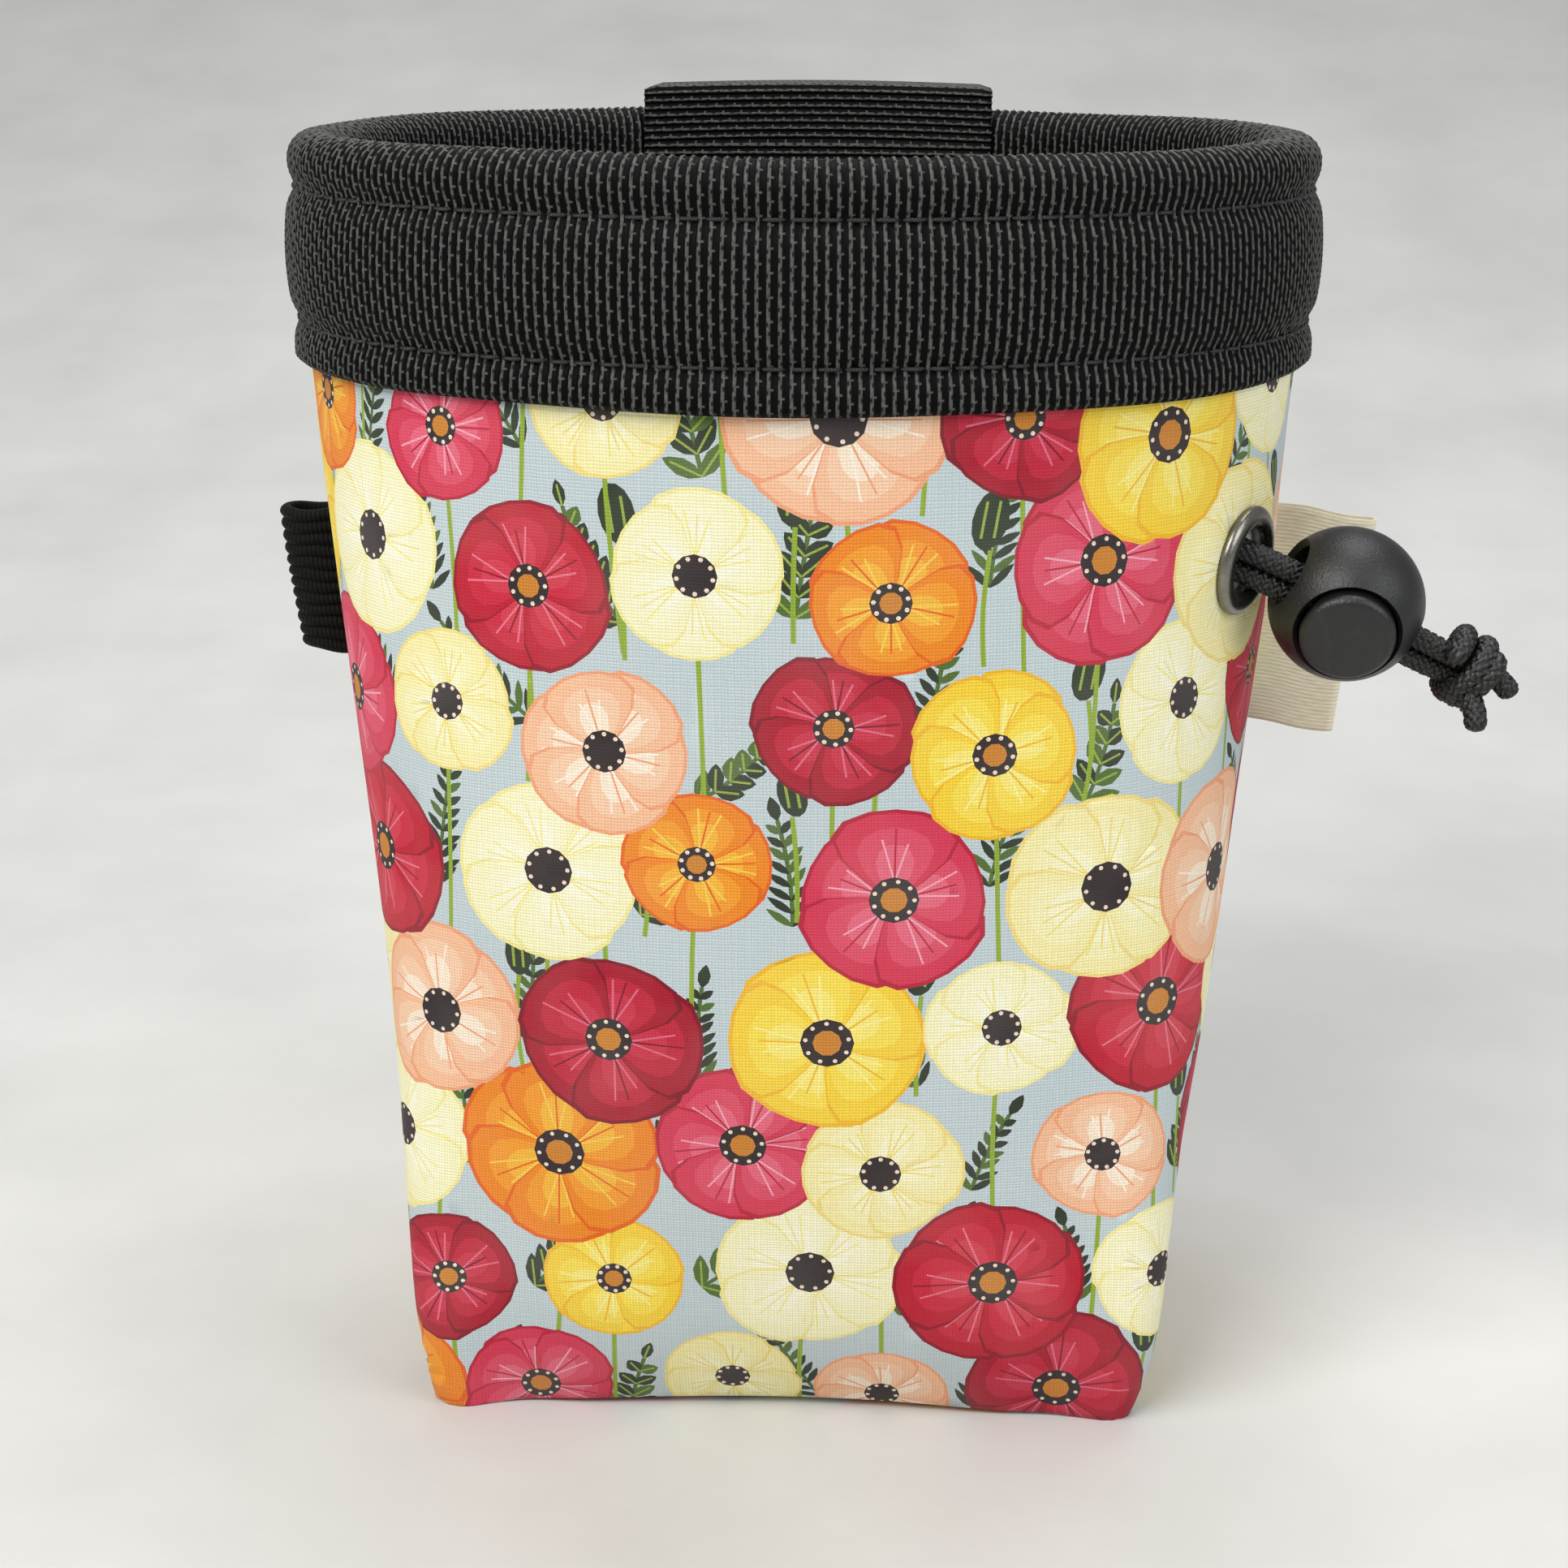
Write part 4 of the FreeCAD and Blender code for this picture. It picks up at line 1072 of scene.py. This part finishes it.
def make_collar():
    """A soft cloth collar and the drawcord's gathered casing at its hem."""
    columns = 480
    share = np.arange(columns) / columns
    pleat = np.sin(share * math.tau * 34) * 0.5 + np.sin(share * math.tau * 55 + 1) * 0.3

    def ring(rows):
        return np.array([round_place(share, np.full(columns, z), o + a * pleat) for o, z, a in rows])

    heights = np.linspace(121.0, 144.0, 14)
    outer = ring([(-2.25, z, 0.0) for z in heights])
    levels = zip(np.linspace(0, 1, 14), heights)
    inner = ring([(-2.7 - 0.25 * (1 - t), z, 0.35 * (1 - t)) for t, z in levels])
    piece = slab("collar_cloth", outer, inner, COLLAR_CLOTH, closed_columns=True)
    dress(piece, "pouch", "lining", "closure_collar")
    section = []
    for k in range(CASING_SIDES):
        across, up = math.cos(math.tau * k / CASING_SIDES), math.sin(math.tau * k / CASING_SIDES)
        offset = CASING_OFFSET + CASING_HALF_WIDTH * math.copysign(abs(across) ** 0.7, across)
        height = CASING_Z + CASING_HALF_HEIGHT * math.copysign(abs(up) ** 0.7, up)
        section.append((offset, height, 0.25 if across < 0.3 else 0.0))
    points = ring(section).reshape(-1, 3)
    faces = grid_faces(CASING_SIDES, columns, 0, True, True)
    piece = mesh_piece("casing_cloth", points, faces, COLLAR_CLOTH)
    dress(piece, "pouch", "lining", "drawcord_casing")


# ---- the belt loop ----
STRIP_WIDTH = 50.0
STRIP_THICKNESS = 1.3
STRIP_RIB = 1.05


def strip_line():
    """The belt strip's outer face as (offset, height), up the inside, over and down the back."""
    rim = float(OUTLINE.place(0.0, 165.0, BACK)[1])
    low = float(OUTLINE.place(0.0, 82.0, BACK)[1])
    hang = rim + 7.0 - low
    corners = [(-6.3, 142.0), (-6.3, 167.2), (-5.5, 168.0), (7.4, 168.0), (8.3, 167.1), (8.3, 137.0)]
    corners += [(hang + 1.3, 84.0), (hang * 0.55, 76.0), (1.5, 70.0), (1.4, 56.0)]
    line = [corners[0]]
    for start, end in zip(corners, corners[1:]):
        steps = max(1, int(math.dist(start, end) / (STRIP_RIB / 6)))
        for k in range(1, steps + 1):
            line.append((mixed(start[0], end[0], k / steps), mixed(start[1], end[1], k / steps)))
    return softened(np.array(line))


def softened(line):
    """The strip's line with the folds of its lower leg rounded."""
    window = 45
    start, end = (np.repeat(row, window // 2, axis=0) for row in (line[:1], line[-1:]))
    padded, weights = np.concatenate([start, line, end]), np.ones(window) / window
    smooth = np.column_stack([np.convolve(padded[:, k], weights, "valid") for k in (0, 1)])
    lower = ((line[:, 0] > 0) * (1 - ease(line[:, 1], 100, 125)) * ease(line[:, 1], 57, 66))[:, None]
    return mixed(line, smooth, lower)


def share_at(x, z):
    """The share of the panel, seam to seam, at which its outline reaches x."""
    share = np.interp(abs(x), OUTLINE.table[int(z), 0], np.linspace(0, 1, TABLE_STEPS + 1))
    return float(share) * (1 if x >= 0 else -1)


def make_belt_loop():
    """50 mm webbing with ribs across it."""
    line = strip_line()
    length = run_length(line)
    tangent = np.gradient(line, axis=0)
    tangent /= np.linalg.norm(tangent, axis=1)[:, None]
    for _ in range(6):
        tangent[1:-1] = (tangent[:-2] + tangent[1:-1] * 2 + tangent[2:]) / 4
    normal = np.column_stack([-tangent[:, 1], tangent[:, 0]])
    normal /= np.linalg.norm(normal, axis=1)[:, None]
    rib = (0.5 + 0.5 * np.cos(math.tau * length / STRIP_RIB)) ** 0.8 * 0.32 - 0.1
    across = np.linspace(-1, 1, 31)
    rounded = np.clip((1 - np.abs(across)) / 0.04, 0, 1) ** 0.5
    sag = 0.35 * np.cos(across * math.pi / 2)
    grids = []
    for depth, sign in ((0.0, 1.0), (STRIP_THICKNESS, -1.0)):
        rows = []
        for (offset, z), (nx, nz), lift, t in zip(line, normal, rib, length):
            half = STRIP_WIDTH / 2 - 0.12 * abs(math.sin(math.pi * t / STRIP_RIB))
            amount = (lift * sign) * rounded - (depth if depth else 0.0) - sign * 0.25 * (1 - rounded)
            o = offset + nx * amount
            high = z + nz * amount + (sag if z > 160 else 0.0)
            x = across * half
            level = np.clip(high, 0, TABLE_TOP - 1)
            share = np.array([share_at(*place) for place in zip(x, level)])
            points = OUTLINE.place(share, high, BACK, o)
            points[:, 0] = x
            rows.append(points)
        grids.append(np.array(rows))
    piece = slab("belt_loop_strip", grids[0], grids[1], WEBBING)
    ribs = length * WEAVE_PITCH / STRIP_RIB
    cloth = [(t, a * STRIP_WIDTH / 2 + 30) for t in ribs for a in across]
    point_attribute(piece, "cloth", cloth + cloth)
    dress(piece, "pouch", "webbing", "belt_loop_webbing")
    places = []
    for z, offset, facing in ((58.5, 1.75, 1.0), (67.5, 1.75, 1.0), (144.5, -6.75, -1.0)):
        for k in range(15):
            x = (k - 7) * 3.1
            share = share_at(x, z)
            point = OUTLINE.place(share, z, BACK, offset)
            ahead = OUTLINE.place(share + 0.002, z, BACK, offset) - point
            along = ahead / np.linalg.norm(ahead)
            places.append((point, along, np.cross((0, 0, 1.0), along) * facing))
    points, faces = stitch_mesh(places, 2.6, 0.5)
    piece = mesh_piece("belt_loop_stitches", points, faces, THREAD)
    dress(piece, "pouch", "thread", "belt_loop_stitching")


# ---- the loops in the side seams ----
def loop_line(reach, gap, root, steps=14):
    """Half rounds and legs of a folded strip, seen from above, pointing along +X."""
    radius = gap / 2
    line = [(x, -radius) for x in np.linspace(root, reach - radius, steps)]
    turns = np.linspace(-math.pi / 2, math.pi / 2, 18)[1:-1]
    line += [(reach - radius + radius * math.cos(a), radius * math.sin(a)) for a in turns]
    line += [(x, radius) for x in np.linspace(reach - radius, root, steps)]
    return np.array(line)


ELASTIC_BOTTOM = 96.2
ELASTIC_HEIGHT = 19.5
ELASTIC_REACH = 69.0
ELASTIC_RIBS = 12


def make_elastic_loop():
    """Ribbed elastic folded into an open loop, a little slack towards the bottom."""
    levels = np.linspace(0, 1, ELASTIC_RIBS * 7 + 1)
    outer_rows, inner_rows, cloth = [], [], []
    for t in levels:
        seam = float(OUTLINE.place(1.0, ELASTIC_BOTTOM + t * ELASTIC_HEIGHT, FRONT)[0])
        reach = ELASTIC_REACH - 2.4 * (1 - t) ** 1.3
        rib = 0.55 * abs(math.sin(math.pi * t * ELASTIC_RIBS)) ** 0.7
        for rows, thick in ((outer_rows, 0.75 + rib), (inner_rows, -0.1 - 0.4 * rib)):
            gap = 5.2 + 2 * thick
            shape = loop_line(reach + thick - 0.8, gap, seam - 3.5)
            pinch = ease(shape[:, 0], seam - 1.0, seam + 4.5)
            y = shape[:, 1] * mixed(0.35 + 0.25 * thick, 1.0, pinch)
            droop = 0.7 * (1 - t) * ease(shape[:, 0], seam, reach)
            z = ELASTIC_BOTTOM + t * ELASTIC_HEIGHT + droop + 0.15 * np.sin(shape[:, 0] * 0.9 + 9 * t)
            rows.append(np.column_stack([-shape[:, 0], y, z]))
        cloth += [(k * 0.6, t * ELASTIC_HEIGHT) for k in range(len(shape))]
    piece = slab("elastic_loop_band", np.array(outer_rows), np.array(inner_rows), ELASTIC)
    point_attribute(piece, "cloth", cloth + cloth)
    dress(piece, "pouch", "elastic", "elastic_loop")


TAG_TOP = (62.3, 117.5)
TAG_HEIGHT = 28.9
TAG_REACH = 13.2
TAG_LEAN = 8.3


def make_tag():
    """A plain folded tape with soft edges."""
    lean = math.radians(TAG_LEAN)
    outer_rows, inner_rows, cloth = [], [], []
    for t in np.linspace(0, 1, 49):
        down = t * TAG_HEIGHT
        reach = TAG_REACH - 0.25 * math.sin(t * 3)
        for rows, thick in ((outer_rows, 0.42), (inner_rows, 0.0)):
            shape = loop_line(reach - 0.42 + thick, 1.5 + 0.8 * (1 - t) + 2 * thick, -3.0, 26)
            pinch = ease(shape[:, 0], -2.0, 5.0)
            sway = 0.9 * ease(shape[:, 0], 2, 14) * math.sin(t * 2.6 + 0.4)
            y = shape[:, 1] * mixed(0.5, 1.0, pinch) + sway
            x, z = shape[:, 0], np.full(len(shape), -down) + 0.2 * np.sin(shape[:, 0] * 0.5)
            rows.append(np.column_stack([TAG_TOP[0] + x * math.cos(lean) + z * math.sin(lean), y,
                                         TAG_TOP[1] + z * math.cos(lean) - x * math.sin(lean)]))
        cloth += [(float(v), down) for v in loop_line(reach, 1.5, -3.0, 26)[:, 0]]
    piece = slab("side_tag_tape", np.array(outer_rows), np.array(inner_rows), TAPE)
    point_attribute(piece, "cloth", cloth + cloth)
    dress(piece, "pouch", "cotton_tape", "side_tag")


# ---- the eyelet ----
def lathe(name, profile, segments, material, centre, axes):
    """A closed ring turned from (radius, height) points about the third axis."""
    side, up, normal = (np.array(a) for a in axes)
    points = []
    for radius, height in profile:
        for k in range(segments):
            angle = math.tau * k / segments
            spoke = side * math.cos(angle) + up * math.sin(angle)
            points.append(np.array(centre) + spoke * radius + normal * height)
    return mesh_piece(name, points, grid_faces(len(profile), segments, 0, True, True), material)


def make_eyelet():
    """The rolled flange with its barrel."""
    profile = []
    for angle in np.radians(np.arange(-40, 181, 10)):
        profile.append((5.45 + 1.35 * math.cos(angle), 0.45 + 1.05 * math.sin(angle)))
    profile += [(4.15, -0.3), (4.3, -1.2), (4.3, -3.2), (4.6, -3.6), (5.6, -3.6), (5.8, -3.3), (5.4, -3.1)]
    profile += [(4.75, -3.05), (4.75, -0.6), (5.2, -0.35)]
    axes = (EYELET_SIDE, EYELET_UP, EYELET_NORMAL)
    ring = lathe("eyelet_ring", profile, 112, NICKEL, EYELET_CENTRE, axes)
    dress(ring, "pouch", "eyelet_metal", "eyelet_flange")


# ---- the cord ----
def spline_line(name, points):
    """The points along the NURBS spline that a cord follows, in millimetres."""
    curve = bpy.data.curves.new(name, "CURVE")
    curve.dimensions = "3D"
    curve.resolution_u = 24
    spline = curve.splines.new("NURBS")
    spline.points.add(len(points) - 1)
    for target, point in zip(spline.points, points):
        target.co = (point[0] * MM, point[1] * MM, point[2] * MM, 1.0)
    spline.order_u = 3
    spline.use_endpoint_u = True
    holder = bpy.data.objects.new(name, curve)
    bpy.context.scene.collection.objects.link(holder)
    mesh = bpy.data.meshes.new_from_object(holder)
    line = np.array([tuple(v.co) for v in mesh.vertices]) / MM
    bpy.data.objects.remove(holder)
    bpy.data.meshes.remove(mesh)
    return line


def evenly(line, step):
    """The same line with points at even distances."""
    length = run_length(line)
    places = np.linspace(0, length[-1], int(length[-1] / step) + 1)
    return np.column_stack([np.interp(places, length, line[:, k]) for k in range(3)]), places


BRAID_CARRIERS = 8
BRAID_LAY = 1.1  # length of one crossing along the cord


def braided(name, line, diameter):
    """A braided tube along a line, its yarns passing over and under each other, ends melted."""
    line, places = evenly(line, 0.16)
    ahead = np.gradient(line, axis=0)
    ahead /= np.linalg.norm(ahead, axis=1)[:, None]
    side = np.cross(ahead[0], (0.3, 0.2, 1.0))
    around = 40
    angles = np.arange(around) / around * math.tau
    points, cloth = [], []
    for point, tangent, place in zip(line, ahead, places):
        side = side - tangent * side.dot(tangent)
        side /= np.linalg.norm(side)
        up = np.cross(tangent, side)
        first = angles / math.tau * BRAID_CARRIERS + place / BRAID_LAY
        second = angles / math.tau * BRAID_CARRIERS - place / BRAID_LAY
        over = (np.floor(first) + np.floor(second)) % 2 == 0
        ridge = np.where(over, np.abs(np.sin(math.pi * first)), np.abs(np.sin(math.pi * second)))
        left = min(place, places[-1] - place)
        melt = 1.0 if left > 0.9 else math.sqrt(max(0.02, 1 - (1 - left / 0.9) ** 2)) * 0.95
        radius = (diameter / 2 - 0.38 + 0.48 * ridge**0.7) * melt
        spokes = np.cos(angles)[:, None] * side + np.sin(angles)[:, None] * up
        points.append(point + radius[:, None] * spokes)
        cloth.append(np.column_stack([angles * diameter / 2, np.full(around, place), ridge]))
    piece = mesh_piece(name, np.concatenate(points), tube_faces(len(line), around), CORD)
    point_attribute(piece, "cloth", np.concatenate(cloth))
    return piece


def knot_point(along, out, up):
    """A point given about the knot: along the cord, towards the front and up."""
    return tuple(KNOT_CENTRE + CORD_AXIS * along + CORD_FRONT * out + CORD_TOP * up)


def wrap(start, end, first_along, last_along, radius, steps):
    """Points of a turn round the knot's core; angles in degrees from the front."""
    points = []
    for k in range(steps):
        angle = math.radians(mixed(start, end, k / (steps - 1)))
        along = mixed(first_along, last_along, k / (steps - 1))
        points.append(knot_point(along, radius * math.cos(angle), radius * math.sin(angle)))
    return points


KNOT_NODES = ("drawcord_knot", "drawcord_end_upper")


def make_cords():
    """Both strands of the drawcord, from inside the eyelet through the lock to the knot's ends."""
    upper = STRAND_UPPER + [knot_point(-1.0, 0.9, 1.2), knot_point(2.0, 0.2, 1.1)]
    upper += wrap(75, -330, 3.9, -1.6, 3.7, 14)
    upper += [knot_point(-0.6, -0.9, 1.4), knot_point(1.4, 0.6, 0.9)] + TAIL_UPPER
    lower = STRAND_LOWER + [knot_point(-1.2, 0.8, -1.3), knot_point(2.2, 0.1, -1.2)]
    lower += wrap(-60, -470, 4.4, 0.4, 3.7, 14) + [knot_point(0.6, 0.3, -1.6)] + TAIL_LOWER
    for name, points, exit_point, nodes in (
        ("drawcord_upper", upper, (56.4, -29.1, 117.0), ("drawcord_strand_upper", *KNOT_NODES)),
        ("drawcord_lower", lower, (55.1, -28.1, 114.5), ("drawcord_strand_lower", "drawcord_end_lower")),
    ):
        line = spline_line(name, points)
        piece = braided(name, line, CORD_DIAMETER)
        dress(piece, "pouch", "cord", *nodes)


# ---- the lock's spring ----
LOCK_CENTRE = Vector((67.8, -26.2, 110.1))
SPRING_LOW = -7.25  # along the button's axis, from the ball's centre
SPRING_HIGH = -1.85
SPRING_RADIUS = 3.0
SPRING_WIRE = 0.3
SPRING_TURNS = 4


def make_spring():
    """The compression spring under the button, which shortens as the button is pressed."""
    out, across = CORD_FRONT, CORD_TOP
    steps, around = SPRING_TURNS * 40, 12
    points = []
    for k in range(steps + 1):
        turn = math.tau * SPRING_TURNS * k / steps
        spoke = across * math.cos(turn) + CORD_AXIS * math.sin(turn)
        middle = LOCK_CENTRE + spoke * SPRING_RADIUS + out * mixed(SPRING_LOW, SPRING_HIGH, k / steps)
        for j in range(around):
            angle = math.tau * j / around
            outward = spoke * math.cos(angle) + out * math.sin(angle)
            points.append(tuple(middle + outward * SPRING_WIRE))
    piece = mesh_piece("lock_spring_coil", points, tube_faces(steps + 1, around), SPRING)
    dress(piece, "cord_lock", "spring_steel", "lock_spring")
    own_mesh(piece)


# ---- the CAD pieces that keep their shape ----
def paint_nodes():
    """Give the CAD nodes that stay their materials."""
    for name, material in (
        ("lock_ball", LOCK_PLASTIC),
        ("lock_button", BUTTON_PLASTIC),
        ("eyelet_washer", NICKEL),
        ("rim_stiffener", STRIP_PLASTIC),
        ("drawcord_loop", CORD),
    ):
        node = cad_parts[name]
        for holder in node.material_slots:
            holder.material = material
        if not node.material_slots:
            node.data.materials.append(material)


# ---- the floor and the light ----
def make_stage():
    """A pale floor that curves gently up into a backdrop."""
    rows = [(-1500.0, 0.0), (-700.0, 0.0), (-200.0, 0.0), (150.0, 0.0)]
    for k in range(1, 41):
        t = k / 40
        rows.append((150 + 2400 * t, 1900 * t * t))
    columns = np.linspace(-2200, 2200, 30)
    points = [(x, y, z - 0.02) for y, z in rows for x in columns]
    floor = mesh_piece("floor", points, grid_faces(len(rows), 30), FLOOR)


def area_light(name, place, target, size, watts, colour=(1.0, 1.0, 1.0)):
    """A large soft lamp that points at a place in millimetres."""
    lamp = bpy.data.lights.new(name, "AREA")
    lamp.shape = "RECTANGLE"
    lamp.size, lamp.size_y = size[0] * MM, size[1] * MM
    lamp.energy = watts
    lamp.color = colour
    holder = bpy.data.objects.new(name, lamp)
    holder.location = Vector(place) * MM
    holder.rotation_euler = (Vector(target) - Vector(place)).to_track_quat("-Z", "Y").to_euler()
    bpy.context.scene.collection.objects.link(holder)


def make_light():
    """Plain soft studio light: a key from the upper left front, a fill and a pale surround."""
    world = bpy.data.worlds.new("studio")
    world.use_nodes = True
    world.node_tree.nodes["Background"].inputs["Color"].default_value = (0.95, 0.97, 1.0, 1.0)
    world.node_tree.nodes["Background"].inputs["Strength"].default_value = 0.38
    bpy.context.scene.world = world
    bpy.context.scene.view_settings.view_transform = "Standard"
    area_light("key", (-420, -620, 820), (0, 0, 70), (620, 620), 10.5, (1.0, 0.99, 0.97))
    area_light("fill", (620, -420, 520), (0, 0, 80), (520, 520), 3.0, (0.97, 0.985, 1.0))
    area_light("top", (60, 220, 900), (0, 0, 100), (700, 500), 5.0)


make_camera()
make_cords()
make_spring()
make_walls()
make_rim_webbing()
make_rim_stitches()
make_collar()
make_belt_loop()
make_elastic_loop()
make_tag()
make_eyelet()
paint_nodes()
make_stage()
make_light()
